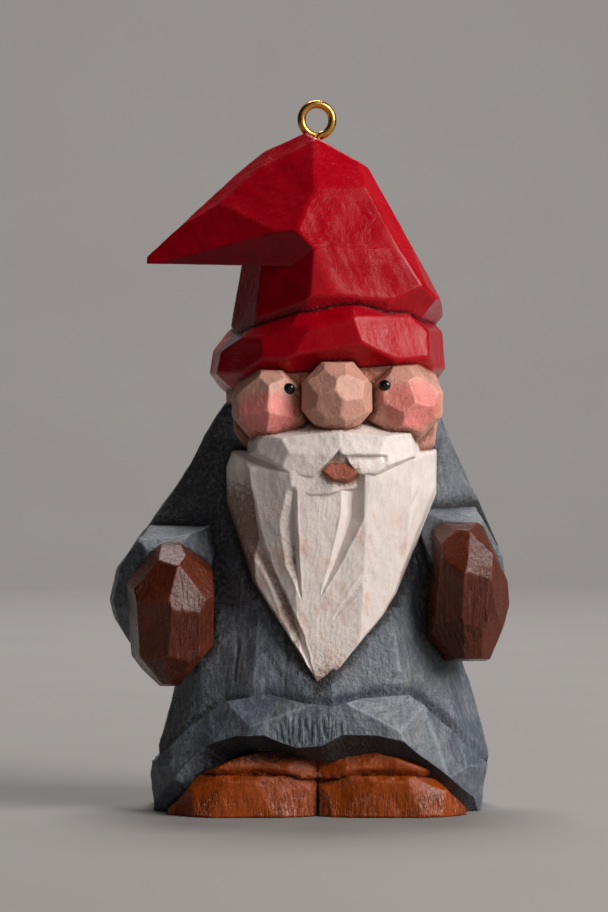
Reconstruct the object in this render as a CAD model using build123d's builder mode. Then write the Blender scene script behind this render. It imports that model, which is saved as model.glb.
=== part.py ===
from build123d import *

import os
from math import cos, radians, sin

# A tomte (gnome) ornament in the Nordic flat-plane carving style, about 90 mm tall, with a
# small brass screw eye in the peak of its hat.
#
# Every carved piece is a block of wood that flat knife strokes have been taken off, so its
# surface is flat facets. A stroke is (x, y, z, azimuth, elevation): a point on the facet, and
# the way the facet faces. Azimuth 0 faces the front (-Y), 90 faces +X, 180 faces the back;
# elevation is above the horizon. Millimetres and degrees.
#
# Origin: middle of the flat base. +Z up, the face looks along -Y. "left" and "right" are the
# figure's own, so its left mitten is on the +X side.

# Driving dimensions
BASE_Z = 0.0
HEAD_X = 2.5  # the head sits a little to the figure's left of the feet
BOOT_HALF_WIDTH = 19.6
BOOT_GROOVE_Z = 5.2  # between the foot and the shaft of a boot
BOOT_BACK_Y = -2.0
HEM_ARCH_Z = 8.4  # highest point of the coat's hem over the boots
HEM_BEVEL = 4.2  # the hem's underside slopes this far back and down to the boots
HEM_BEVEL_Y = 14.6  # how far in front of the axis that slope ends
HEM_SIDE_Z = 9.0  # height of the hem band at the figure's sides
HEM_FRONT_Z = 15.2  # height of the hem band over the middle of each boot
EYE_WIRE_R = 0.55
EYE_RING_R = 2.1  # to the middle of the wire
EYE_SHANK_DEPTH = 7.0
EYE_X = 0.0
EYE_Z = 91.5  # centre of the ring
EYE_TURN = 12.0  # the ring's plane is turned this far from square to the front
THREAD_PITCH = 0.6
THREAD_DEPTH = 0.12
BEAD_R = 0.95  # a painted eye is a bead of this radius, sunk into the face
GOUGE_WIDTH = 0.9
GOUGE_DEPTH = 0.5  # below the beard's surface
TALL = 200.0  # longer than the figure, for tools that cut right through


def facing(azimuth, elevation):
    """Unit vector of a facet that faces that way."""
    turn, tilt = radians(azimuth), radians(elevation)
    return Vector(sin(turn) * cos(tilt), -cos(turn) * cos(tilt), sin(tilt))


def carve(strokes):
    """Takes each knife stroke off the part in hand and leaves a flat facet."""
    for x, y, z, azimuth, elevation in strokes:
        flat = Plane(origin=(x, y, z), z_dir=facing(azimuth, elevation))
        split(bisect_by=flat, keep=Keep.BOTTOM)


def carve_round(centre, radii, strokes):
    """Takes strokes (azimuth, elevation, proud) that touch an ellipsoid, or stand proud of it."""
    for azimuth, elevation, proud in strokes:
        away = facing(azimuth, elevation)
        reach = sum((r * a) ** 2 for r, a in zip(radii, away)) ** 0.5
        flat = Plane(origin=Vector(*centre) + away * (reach + proud), z_dir=away)
        split(bisect_by=flat, keep=Keep.BOTTOM)


def block(low, high):
    """The sawn block that a piece is carved from, between two corners."""
    middle = [(a + b) / 2 for a, b in zip(low, high)]
    with Locations(Vector(*middle)):
        Box(*[b - a for a, b in zip(low, high)])


def cut_away(*others):
    """Takes the neighbours that are already made out of the part in hand."""
    for other in others:
        add(other.part, mode=Mode.SUBTRACT)


# --- brass screw eye -----------------------------------------------------------------------
ring_plane = Plane(origin=(EYE_X, 0, EYE_Z), z_dir=facing(EYE_TURN, 0))
shank_top_z = EYE_Z - EYE_RING_R
shank_end_z = shank_top_z - EYE_SHANK_DEPTH
with BuildPart() as screw_eye:
    with Locations(ring_plane):
        Torus(EYE_RING_R, EYE_WIRE_R)
    with BuildSketch(Plane.XZ):
        with BuildLine():
            Polyline(
                (EYE_X, shank_end_z),
                (EYE_X + EYE_WIRE_R, shank_end_z + 3 * EYE_WIRE_R),
                (EYE_X + EYE_WIRE_R, shank_top_z),
                (EYE_X, shank_top_z),
                close=True,
            )
        make_face()
    revolve(axis=Axis((EYE_X, 0, 0), (0, 0, 1)))
    thread_turns = int((EYE_SHANK_DEPTH - 5 * EYE_WIRE_R) / THREAD_PITCH)
    for turn in range(thread_turns):
        ridge_z = shank_end_z + 3.5 * EYE_WIRE_R + turn * THREAD_PITCH
        with BuildSketch(Plane.XZ):
            with BuildLine():
                Polyline(
                    (EYE_X, ridge_z - THREAD_PITCH / 2.5),
                    (EYE_X + EYE_WIRE_R, ridge_z - THREAD_PITCH / 2.5),
                    (EYE_X + EYE_WIRE_R + THREAD_DEPTH, ridge_z),
                    (EYE_X + EYE_WIRE_R, ridge_z + THREAD_PITCH / 2.5),
                    (EYE_X, ridge_z + THREAD_PITCH / 2.5),
                    close=True,
                )
            make_face()
        revolve(axis=Axis((EYE_X, 0, 0), (0, 0, 1)))

# --- hat -----------------------------------------------------------------------------------
# strokes that run over the peak and the crown alike
HAT_STROKES = [
    (1.4, -8.6, 82.9, 8, 37), (5.6, -11.4, 75.0, 13, 23), (9.4, -8.8, 74.6, 42, 24),
    (9.0, -5.2, 79.4, 60, 29), (9.3, 0.0, 80.2, 90, 28.6), (2.6, 0, 87.4, 86, 60),
    (-6.6, -7.6, 81.1, -28, 28), (-14.6, -6.6, 76.1, -16, 8), (-9.6, -5.0, 82.6, -40, 46),
    (-4.6, 0.0, 88.3, -90, 67), (-11.7, -1.0, 83.5, -88, 51), (-18.2, -2.4, 77.2, -86, 47),
    (-12.0, -4.6, 80.6, -52, 44), (-19.4, 1.4, 74.6, -170, 14), (-13.0, 4.2, 79.0, -165, 22),
    (-5.0, 7.6, 81.6, -160, 34), (4.0, 9.2, 80.6, 172, 34), (10.0, 6.0, 78.0, 124, 30),
    (3.0, 11.4, 74.0, 180, 17), (11.6, 6.8, 74.4, 124, 24),
]

with BuildPart() as hat_brim:
    block((-16, -18, 53.6), (20, 16, 68))
    carve_round(
        (1.6, -0.7, 61.0),
        (14.6, 14.2, 16.0),
        [
            (2, 6, 0.0), (35, 12, 0.1), (76, 4, 0.1), (108, 6, 0.1), (143, 4, 0.2),
            (180, 6, 0.0), (-144, 5, 0.2), (-108, 7, 0.1), (-78, 9, 0.2), (-50, 2, 0.0), (-22, 4, 0.1),
        ],
    )
    # bevel above, into the groove under the crown
    carve([
        (2, -13.6, 66.2, 0, 52), (8.5, -12.0, 65.4, 35, 50), (14.4, -4, 64.4, 76, 48),
        (13, 6, 64.6, 120, 48), (2, 12, 65.6, 180, 50), (-9, 7, 64.0, -130, 48),
        (-11.3, -3, 62.4, -75, 48), (-7.6, -9.6, 63.4, -48, 48), (-3.5, -12.4, 64.8, -20, 50),
        (2, -4, 66.9, 10, 86),
    ])
    # narrow bevel below, over the face
    carve([
        (2.0, -14.6, 60.2, 5, -50), (9.5, -13.0, 59.0, 38, -50), (15.7, -3, 57.6, 78, -48),
        (14, 7, 57.0, 120, -48), (2, 13.2, 57.2, 180, -48), (-10, 8, 56.4, -130, -48),
        (-12.9, -2, 56.6, -80, -48), (-9.6, -9.4, 57.2, -50, -48), (-4.0, -13.4, 58.8, -20, -50),
    ])
    # the brow line, arched over the face
    with BuildSketch(Plane.XZ.offset(-2)):
        with BuildLine():
            Polyline(
                (-18, 50), (-18, 53.9), (-11.0, 55.2), (-5.6, 57.3), (-2.8, 58.0), (0.5, 58.9),
                (3.4, 59.2), (5.9, 58.2), (9.0, 57.6), (11.6, 57.2), (14.4, 56.2), (20, 55.0), (20, 50),
                close=True,
            )
        make_face()
    extrude(amount=30, mode=Mode.SUBTRACT)

with BuildPart() as hat_peak:
    block((-24, -14, 71), (20, 14, 92))
    carve(HAT_STROKES)
    # the turned-over tip's underside
    carve([(-9.6, -8.4, 76.6, -5, -40), (-10.0, 0, 71.9, 10, -84), (-22.8, -2.4, 73.4, -96, 0)])
    cut_away(screw_eye)

with BuildPart() as hat_crown:
    block((-16, -18, 61), (20, 16, 80))
    carve(HAT_STROKES)
    carve([
        (12.6, -8.4, 69.0, 52, 20), (14.6, -4.0, 69.6, 74, 26), (0.6, -12.4, 71.0, -10, 9),
        (-4.2, -10.8, 70.0, -38, 9), (-8.6, -7.2, 68.6, -66, 8), (-10.7, 0.0, 68.0, -92, 10),
        (-8.4, 8.0, 68.0, -135, 11), (12.2, 8.0, 69.0, 128, 18), (15.4, 0.5, 69.0, 92, 26),
    ])
    # undercut that makes the groove over the brim
    carve([
        (4, -12.9, 66.6, 5, -38), (10, -11.4, 66.0, 36, -38), (15.4, -3, 65.4, 76, -40),
        (14, 7, 65.0, 125, -38), (2, 12.6, 65.6, 180, -38), (-9, 8, 64.0, -130, -38),
        (-11.0, -1, 63.2, -85, -38), (-8.4, -8.4, 64.2, -55, -38), (-3.2, -11.8, 65.6, -22, -38),
    ])
    cut_away(hat_brim, hat_peak)

# --- head ----------------------------------------------------------------------------------
with BuildPart() as head:
    block((-14, -14, 42), (20, 14, 61))
    carve([
        (HEAD_X, -11.8, 52, 0, 0), (-7.4, -9.8, 52, -38, 0), (-11.0, -4.0, 50, -74, 0),
        (-11.2, 4.0, 50, -104, 0), (12.4, -9.8, 52, 38, 0), (15.7, -4.0, 50, 74, 0),
        (16.0, 4.0, 50, 104, 0), (HEAD_X, 11.0, 50, 180, 0), (-6.0, 9.0, 50, -145, 0),
        (11.0, 9.0, 50, 145, 0),
    ])
    cut_away(hat_brim)

with BuildPart() as nose:
    block((-4, -20, 48), (9, -8, 61))
    carve_round(
        (HEAD_X, -13.6, 54.3),
        (4.6, 4.7, 4.6),
        [
            (28, 15, 0.0), (-30, 26, 0.0), (-14, -18, 0.0), (30, -22, 0.0), (-52, -3, 0.0),
            (-86, 2, 0.0), (64, 4, 0.0), (92, 0, 0.0), (0, 56, 0.0), (48, 46, 0.0), (-52, 44, 0.1),
            (-8, -52, 0.0), (-45, -38, 0.0), (48, -46, 0.0), (0, -86, 0.0),
        ],
    )
    cut_away(hat_brim, head)

CHEEK_BACK = [(-98, 0, 0.0), (98, 0, 0.0), (0, 82, 0.6), (0, -82, 0.0), (-70, 44, 0.1), (70, 44, 0.1),
              (-70, -44, 0.0), (70, -44, 0.0)]

with BuildPart() as cheek_right:
    block((-14, -18, 46), (2, -4, 62))
    carve_round(
        (-6.0, -10.4, 52.7),
        (5.0, 5.0, 4.8),
        [(29, 12, -0.2), (-34, 14, -0.1), (-30, -20, 0.0), (22, -26, 0.0), (-66, 0, 0.2), (0, -62, -0.1),
         (4, 50, 0.7), (64, -6, 0.2)] + CHEEK_BACK,
    )
    cut_away(hat_brim, head, nose)

with BuildPart() as cheek_left:
    block((3, -18, 46), (19, -4, 62))
    carve_round(
        (11.2, -10.4, 53.3),
        (5.0, 5.0, 4.7),
        [(35, 24, 0.0), (-8, 14, 0.0), (25, -24, 0.0), (-24, -20, 0.0), (-52, 4, 0.0), (66, 0, 0.2),
         (10, 52, 0.4), (45, 52, 0.3), (4, -60, -0.1)] + CHEEK_BACK,
    )
    cut_away(hat_brim, head, nose)

with BuildPart() as eye_right:
    with Locations((-3.7, -14.0, 55.4)):
        Sphere(BEAD_R)
    cut_away(head, nose, cheek_right, hat_brim)

with BuildPart() as eye_left:
    with Locations((8.7, -14.1, 55.8)):
        Sphere(BEAD_R)
    cut_away(head, nose, cheek_left, hat_brim)

# --- moustache, lip and beard --------------------------------------------------------------
with BuildPart() as moustache_right:
    block((-9, -20, 41), (HEAD_X, -10, 53))
    carve([
        (-2.0, -16.6, 48.6, -6, 16), (-2.0, -17.0, 46.6, -8, -8), (-5.6, -15.6, 47.4, -34, 2),
        (-8.0, -13.0, 49.0, -72, 10), (-5.9, -14.6, 45.6, -62, -42), (-3.6, -15.6, 43.9, -18, -66),
        (1.6, -16.4, 45.9, 66, -42), (-2.0, -13.6, 50.4, 0, 62), (-7.0, -13.0, 49.9, -20, 70),
    ])
    cut_away(head, nose, cheek_right)

with BuildPart() as moustache_left:
    block((HEAD_X, -20, 42.4), (14, -10, 53))
    carve([
        (6.0, -16.6, 48.8, 8, 16), (6.0, -17.0, 46.8, 8, -8), (9.8, -15.6, 47.8, 34, 4),
        (12.4, -13.0, 49.0, 76, 10), (11.2, -14.4, 46.0, 52, -46), (7.6, -15.6, 44.1, 8, -68),
        (3.6, -16.4, 45.9, -66, -42), (6.0, -13.6, 51.4, 0, 62), (11.4, -13.0, 50.0, 20, 70),
    ])
    cut_away(head, nose, cheek_left)

with BuildPart() as lower_lip:
    block((-0.4, -18, 42.6), (6.2, -11, 48.4))
    carve([
        (3.2, -16.5, 45.0, 4, 16), (0.7, -15.8, 44.8, -50, 0), (5.4, -15.8, 45.2, 50, 0),
        (1.2, -15.8, 43.9, -42, -56), (3.2, -15.9, 43.2, 10, -60), (5.2, -15.8, 44.0, 42, -56),
    ])
    cut_away(head, nose, moustache_left, moustache_right)

with BuildPart() as chin_tuft:
    block((-6.4, -18, 40.8), (6, -11.4, 44.5))
    carve([
        (-1.0, -16.4, 43.0, -8, 6), (-4.8, -15.2, 43.4, -46, 0), (3.4, -16.2, 43.4, 24, 2),
        (5.6, -14.0, 44.0, 70, 0), (-3.4, -15.6, 42.2, -38, -52), (0.4, -16.0, 41.4, 4, -62),
        (4.4, -15.6, 42.4, 40, -56),
    ])
    cut_away(head, cheek_right, moustache_left, moustache_right, lower_lip)

# --- coat ----------------------------------------------------------------------------------
# strokes down the front that run over the shoulders and the skirt alike
COAT_STROKES = [
    (-15.6, -8.8, 20, -60, 13), (-9.3, -12.6, 20, -32, 12), (-1.5, -14.3, 20, -8, 12),
    (5.0, -14.1, 20, 13, 12), (12.0, -11.6, 20, 38, 13), (17.4, -5.6, 20, 66, 15),
]

with BuildPart() as coat_yoke:
    block((-28, -14, 31), (28, 16, 55))
    carve(COAT_STROKES[1:5])
    carve([
        (-17.0, 2.0, 45.7, -90, 32), (-15.0, -5.8, 43.0, -50, 18), (17.2, -4.8, 45.4, 46, 22),
        (19.6, 2.0, 44.6, 90, 24), (21.0, -2.4, 38.4, 62, 12), (16.0, 9.0, 44.0, 134, 20),
        (2.0, 12.4, 46.0, 180, 12), (-13.0, 9.0, 44.0, -134, 24), (2.5, 0, 53.6, 0, 88),
        (-20, -6.0, 38.0, -62, 8), (0, 14.0, 34.0, 180, -20), (18, 9, 33, 140, -24),
        (-18, 9, 33, -140, -24), (23.4, 0, 33.0, 90, -30), (-23.6, 0, 33.0, -90, -30),
    ])
    cut_away(head, cheek_left, cheek_right, hat_brim, moustache_left, moustache_right, chin_tuft)

HEM_LINE = [
    (-24, HEM_SIDE_Z - 3.5), (-19, HEM_SIDE_Z + 2.2), (-9, HEM_FRONT_Z), (0.0, HEM_FRONT_Z - 1.4),
    (9.5, HEM_FRONT_Z + 0.8), (17, HEM_SIDE_Z + 3.6), (25, HEM_SIDE_Z - 2.5),
]
with BuildPart() as coat_body:
    block((-24, -20, -1), (26, 18, 44))
    carve(COAT_STROKES)
    carve([
        (19.2, 2.0, 19, 92, 15), (-18.2, 2.0, 18, -91, 14), (15.0, 10.6, 20, 130, 8),
        (6.0, 14.4, 20, 160, 5), (-6.0, 14.2, 20, -162, 5), (-14.8, 10.2, 20, -128, 8),
        (-14.0, 9.0, 40.0, -134, 20), (15.0, 9.0, 40.0, 134, 18), (0, 13.2, 40.0, 180, 10),
    ])
    with BuildSketch(Plane.XZ.offset(-TALL / 2)):
        with BuildLine():
            Polyline(*HEM_LINE, (25, 60), (-24, 60), close=True)
        make_face()
    extrude(amount=TALL, mode=Mode.INTERSECT)
    cut_away(coat_yoke, head)


def arch(grow):
    """Points along the outline over both boots, grown outward; each boot has its own hump."""
    return [
        (BOOT_HALF_WIDTH + grow, 0.7), (14.6 + grow * 0.7, 5.6 + grow * 0.7),
        (8.3, HEM_ARCH_Z - 0.6 + grow), (1.6, HEM_ARCH_Z - 1.5 + grow), (-7.5, HEM_ARCH_Z + grow),
        (-13.5 - grow * 0.5, 7.0 + grow * 0.8), (-BOOT_HALF_WIDTH - grow, 0.9),
    ]


def arch_foot(grow):
    """Points that close that outline below the base."""
    reach = BOOT_HALF_WIDTH + grow
    return [(-reach, 0.9), (-reach, -1), (reach, -1), (reach, 0.7)]


with BuildPart() as boot_pocket:
    with BuildSketch(Plane.XZ.offset(-BOOT_BACK_Y)):
        with BuildLine():
            Spline(*arch(0))
            Polyline(*arch_foot(0))
        make_face()
    extrude(amount=30)

# the hem is bevelled under, down to the boots
with BuildPart() as hem_bevel:
    with BuildSketch(Plane.XZ.offset(HEM_BEVEL_Y)):
        with BuildLine():
            Spline(*arch(0))
            Polyline(*arch_foot(0))
        make_face()
    with BuildSketch(Plane.XZ.offset(HEM_BEVEL_Y + HEM_BEVEL)):
        with BuildLine():
            Spline(*arch(HEM_BEVEL))
            Polyline(*arch_foot(HEM_BEVEL))
        make_face()
    loft()

with BuildPart() as coat_hem:
    block((-26, -22, BASE_Z), (27, 20, 20))
    carve([
        (-19.4, -10.2, 8, -60, 16), (-12.4, -15.2, 8, -34, 15), (-3.0, -17.6, 9, -8, 14),
        (5.0, -17.4, 9.6, 12, 14), (13.2, -15.2, 9.6, 36, 16), (19.6, -9.2, 9, 60, 17),
        (22.1, 2.0, 8.6, 92, 14), (-21.2, 2.0, 8.6, -91, 14), (17.6, 11.4, 8, 130, 10),
        (6.5, 16.0, 8, 160, 6), (-6.5, 15.8, 8, -162, 6), (-17.0, 11.0, 8, -128, 10),
        (22.5, 0, 3.6, 88, -10), (-22.2, 0, 3.0, -88, -8), (20.6, -8.4, 3.0, 58, -8),
        (-20.0, -9.4, 2.6, -58, -8), (0, 16.6, 3, 180, -6),
    ])
    with BuildSketch(Plane.XZ.offset(-TALL / 2)):
        with BuildLine():
            Polyline(*HEM_LINE, (25, -5), (-24, -5), close=True)
        make_face()
    extrude(amount=TALL, mode=Mode.INTERSECT)
    cut_away(boot_pocket, hem_bevel, coat_body)

# --- sleeves and mittens -------------------------------------------------------------------
with BuildPart() as sleeve_right:
    block((-30, -16, 18), (-12, 10, 42))
    carve([
        (-24.2, 0, 35.0, -88, 36), (-26.9, -1, 29.6, -86, 12), (-26.8, -1, 25.4, -86, -14),
        (-25.0, -7.6, 30.0, -52, 10), (-24.0, -7.6, 23.6, -52, -24), (-19.0, -11.0, 30.0, -8, 10),
        (-18.6, -8.8, 35.8, -12, 50), (-14.2, -8.0, 33.0, 40, 22), (-20.0, -8.0, 21.4, -10, -52),
        (-22.0, 6.4, 29.0, -140, 4), (-18.0, 8.0, 29.0, 178, 6), (-20.0, 3.0, 20.6, -170, -60),
        (-14.0, 0, 24.0, 80, -10), (-18.0, 4, 38.0, -160, 50), (-20.0, -2.0, 37.6, -30, 74),
    ])
    cut_away(coat_yoke, coat_body, head)

with BuildPart() as sleeve_left:
    block((13, -14, 20), (28, 11, 44))
    carve([
        (23.2, 0, 36.2, 88, 27), (24.8, -1, 31.0, 86, 7), (24.6, -1, 26.0, 86, -14),
        (22.4, -6.8, 34.0, 50, 22), (23.0, -7.2, 28.0, 52, -6), (19.0, -9.4, 32.0, 8, 10),
        (18.0, -7.4, 38.6, 10, 50), (15.0, -6.6, 37.0, -40, 24), (20.0, -6.8, 23.6, 10, -52),
        (21.8, 7.4, 31.0, 140, 4), (18.0, 9.0, 31.0, 180, 6), (20.0, 4.0, 22.8, 170, -60),
        (14.4, 0, 27.0, -80, -10), (18.4, 5, 40.0, 160, 50), (19, 0, 40.2, 30, 70),
    ])
    cut_away(coat_yoke, coat_body, head)

with BuildPart() as mitten_right:
    block((-27, -20, 14), (-11, -2, 37))
    carve_round(
        (-18.7, -11.6, 25.7),
        (5.3, 5.6, 8.8),
        [
            (-8, 62, -0.1), (-28, 24, 0.0), (22, 14, 0.2), (-26, -4, 0.0), (20, -8, 0.1),
            (60, -6, 0.1), (52, 30, 0.0), (-30, -46, 0.0), (6, -42, 0.1), (48, -38, 0.2),
            (-76, -4, 0.0), (-70, 38, 0.0), (95, 0, -0.2), (-75, -42, 0.0), (0, -82, 0.0),
            (-135, 0, 0.0), (135, 0, 0.0), (180, 40, 0.2), (180, -35, 0.0), (75, 48, 0.1),
        ],
    )
    cut_away(sleeve_right, coat_body, coat_yoke)

with BuildPart() as mitten_left:
    block((12, -18, 17), (28, 0, 41))
    carve_round(
        (19.6, -9.8, 28.8),
        (4.6, 5.8, 9.2),
        [
            (-16, 32, 0.0), (28, 26, -0.2), (70, 6, -0.1), (66, 44, -0.5), (18, -3, 0.0),
            (-36, 0, 0.1), (-30, -24, 0.2), (12, -26, 0.2), (46, -20, 0.3), (-80, 5, -0.1),
            (0, 80, -0.4), (92, -22, 0.4), (0, -84, -0.4), (-60, 50, 0.3), (-70, -40, 0.3),
            (-135, 0, 0.0), (130, 0, 0.0), (180, 38, 0.2), (180, -35, 0.0), (86, 24, -0.2),
        ],
    )
    cut_away(sleeve_left, coat_body, coat_yoke)

# --- boots ---------------------------------------------------------------------------------
FOOT_STROKES = [
    (9.5, -16.2, 2.0, 0, 6), (16.6, -14.6, 2.0, 42, 8), (2.2, -15.6, 2.0, -34, 4),
    (8.0, -15.9, 4.6, 0, 42), (15.6, -13.6, 4.6, 38, 44), (2.4, -14.6, 4.6, -30, 40),
]
SHAFT_STROKES = [
    (9.5, -15.2, 7.0, 0, 20), (15.6, -13.0, 6.6, 38, 22), (3.2, -14.6, 7.0, -24, 18),
    (9.5, -15.0, 5.8, 0, -38), (15.6, -13.0, 5.8, 38, -36),
]


def boot_part(side, low_z, high_z, strokes):
    """One part of a boot between two heights: side is 1 for the +X boot and -1 for the other."""
    x_low, x_high = sorted((0.0, side * BOOT_HALF_WIDTH))
    block((x_low, -20, low_z), (x_high, BOOT_BACK_Y, high_z))
    carve([(side * x, y, z, side * azimuth, elevation) for x, y, z, azimuth, elevation in strokes])
    add(boot_pocket.part, mode=Mode.INTERSECT)


with BuildPart() as boot_foot_left:
    boot_part(1, BASE_Z, BOOT_GROOVE_Z, FOOT_STROKES)
with BuildPart() as boot_foot_right:
    boot_part(-1, BASE_Z, BOOT_GROOVE_Z, FOOT_STROKES)
with BuildPart() as boot_shaft_left:
    boot_part(1, BOOT_GROOVE_Z, HEM_ARCH_Z, SHAFT_STROKES)
with BuildPart() as boot_shaft_right:
    boot_part(-1, BOOT_GROOVE_Z, HEM_ARCH_Z, SHAFT_STROKES)

# --- beard, over the coat ------------------------------------------------------------------
# gouge cuts down the beard: where each starts and ends, as (x, y, z)
GOUGE_CUTS = [
    ((-10.0, -11.2, 44.6), (-7.6, -13.6, 32.6)), ((-7.6, -13.6, 32.6), (-1.0, -16.4, 20.6)),
    ((-3.6, -16.0, 42.2), (-4.1, -16.2, 35.6)), ((-4.1, -16.2, 35.6), (-1.6, -16.8, 27.4)),
    ((5.2, -16.0, 43.8), (3.6, -16.2, 36.4)), ((3.6, -16.2, 36.4), (0.8, -16.8, 29.0)),
    ((13.2, -12.2, 41.4), (9.6, -14.6, 34.6)), ((9.6, -14.6, 34.6), (3.2, -16.8, 26.0)),
]
with BuildPart() as beard:
    block((-14, -20, 15), (18, -2, 47.4))
    carve([
        (2.0, -16.0, 36.0, 2, -3), (-5.5, -15.0, 38.0, -28, -4), (-10.2, -11.0, 40.0, -56, -4),
        (8.4, -14.9, 38.0, 28, -4), (13.6, -11.0, 41.0, 58, -5), (-2.4, -16.6, 25.0, -34, -6),
        (3.6, -16.8, 25.0, 26, -5), (-11.9, -6.0, 44.0, -86, 0), (-11.0, -8.0, 38.4, -82, -15),
        (-6.9, -12.4, 29.0, -82, -32), (15.6, -6.0, 45.0, 86, 0), (14.5, -8.0, 39.8, 82, -19),
        (9.6, -12.6, 30.4, 82, -34), (0.0, -16.4, 17.3, 0, -60), (-9.0, -12.4, 46.2, -24, 46),
        (14.0, -11.6, 46.8, 40, 50),
    ])
    cut_away(head, coat_yoke, coat_body, cheek_left, cheek_right, moustache_left, moustache_right)
    cut_away(lower_lip, chin_tuft, sleeve_left, sleeve_right)
    for start, end in GOUGE_CUTS:
        path = Vector(*end) - Vector(*start)
        with BuildSketch(Plane(origin=start, x_dir=(1, 0, 0), z_dir=path)):
            with BuildLine():
                Polyline((-GOUGE_WIDTH, GOUGE_WIDTH), (GOUGE_WIDTH, GOUGE_WIDTH), (0, -GOUGE_DEPTH),
                         close=True)
            make_face()
        extrude(amount=path.length, mode=Mode.SUBTRACT)

# --- one file for each piece ---------------------------------------------------------------
pieces = {
    "screw_eye": screw_eye,
    "hat_peak": hat_peak,
    "hat_crown": hat_crown,
    "hat_brim": hat_brim,
    "head": head,
    "nose": nose,
    "cheek_left": cheek_left,
    "cheek_right": cheek_right,
    "eye_left": eye_left,
    "eye_right": eye_right,
    "moustache_left": moustache_left,
    "moustache_right": moustache_right,
    "lower_lip": lower_lip,
    "chin_tuft": chin_tuft,
    "beard": beard,
    "coat_yoke": coat_yoke,
    "coat_body": coat_body,
    "coat_hem": coat_hem,
    "sleeve_left": sleeve_left,
    "sleeve_right": sleeve_right,
    "mitten_left": mitten_left,
    "mitten_right": mitten_right,
    "boot_shaft_left": boot_shaft_left,
    "boot_shaft_right": boot_shaft_right,
    "boot_foot_left": boot_foot_left,
    "boot_foot_right": boot_foot_right,
}
os.makedirs("parts", exist_ok=True)
for name, piece in pieces.items():
    piece.part.label = name
    export_step(piece.part, f"parts/{name}.step")
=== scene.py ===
"""A painted, knife-carved gnome ornament (a tomte) and the small stage that it stands on.

Lengths in the shape functions are millimetres and angles are degrees; meshes are written in metres.
"""

import bpy
import numpy as np
from bpy.props import FloatProperty, FloatVectorProperty, PointerProperty
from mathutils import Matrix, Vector


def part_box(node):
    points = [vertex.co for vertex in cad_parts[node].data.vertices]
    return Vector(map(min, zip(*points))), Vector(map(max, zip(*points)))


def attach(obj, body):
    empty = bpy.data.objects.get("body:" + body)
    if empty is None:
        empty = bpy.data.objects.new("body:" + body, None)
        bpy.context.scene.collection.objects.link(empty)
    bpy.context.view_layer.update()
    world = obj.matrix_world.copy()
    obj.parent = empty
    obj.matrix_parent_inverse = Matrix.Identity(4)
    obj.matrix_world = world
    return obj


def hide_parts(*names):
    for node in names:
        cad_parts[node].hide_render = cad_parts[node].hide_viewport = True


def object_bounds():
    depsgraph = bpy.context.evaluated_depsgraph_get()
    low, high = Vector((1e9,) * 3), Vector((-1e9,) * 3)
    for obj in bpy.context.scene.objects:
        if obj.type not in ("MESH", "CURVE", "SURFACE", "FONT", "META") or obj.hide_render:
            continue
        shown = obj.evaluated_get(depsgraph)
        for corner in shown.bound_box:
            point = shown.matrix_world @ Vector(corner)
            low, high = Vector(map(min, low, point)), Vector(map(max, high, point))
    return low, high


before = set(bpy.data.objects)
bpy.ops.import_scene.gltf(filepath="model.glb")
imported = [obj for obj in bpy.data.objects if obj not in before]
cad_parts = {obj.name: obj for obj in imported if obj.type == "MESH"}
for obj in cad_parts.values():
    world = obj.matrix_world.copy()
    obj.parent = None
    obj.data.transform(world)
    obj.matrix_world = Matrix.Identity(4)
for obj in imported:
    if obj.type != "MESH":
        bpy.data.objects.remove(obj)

bl_info = {
    "name": "Carved Tomte",
    "version": (1, 0, 0),
    "blender": (4, 5, 0),
    "location": "3D View > Sidebar > Tomte",
    "description": "Builds a flat-plane carved gnome with painted wood finishes",
    "category": "Add Mesh",
}

MM = 0.001
BODY = "root"
CAD_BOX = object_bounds()
UP = np.array([0.0, 0.0, 1.0])
DIP_REACH = 1.2  # how far in from a knife edge a facet's dip grows
EDGE_REACH = 0.3  # how far in from a knife edge its paint is worn


def tint(red, green, blue):
    """A paint colour, given as it looks on a screen from 0 to 255, as linear light."""
    share = np.array([red, green, blue]) / 255.0
    return tuple(np.where(share <= 0.04045, share / 12.92, ((share + 0.055) / 1.055) ** 2.4))


def colour_property(name, words, default):
    """A colour of paint, in linear light."""
    return FloatVectorProperty(name=name, description=words, subtype="COLOR", size=3, min=0, max=1,
                               default=default)


def length_property(name, words, default):
    """A length in metres."""
    return FloatProperty(name=name, description=words, default=default, min=0, unit="LENGTH")


class TomteCarving(bpy.types.PropertyGroup):
    rounding: length_property("Edge rounding", "Width over which paint softens a knife edge", 0.1 * MM)
    waviness: length_property("Waviness", "Height of the slow waves the knife leaves on a facet", 0.03 * MM)
    hollow: length_property("Facet hollow", "How far a facet dips towards its middle", 0.06 * MM)
    gouge_depth: FloatProperty(name="Gouge depth", description="Depth of a full gouge cut, as a share of "
                               "half its width", default=1.0, min=0)
    eye_radius: length_property("Eye radius", "Radius of a painted eye", 0.8 * MM)
    wire_radius: length_property("Wire radius", "Radius of the screw eye's wire", 0.55 * MM)
    ring_radius: length_property("Ring radius", "Radius of the ring, to the middle of its wire", 2.1 * MM)


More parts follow.
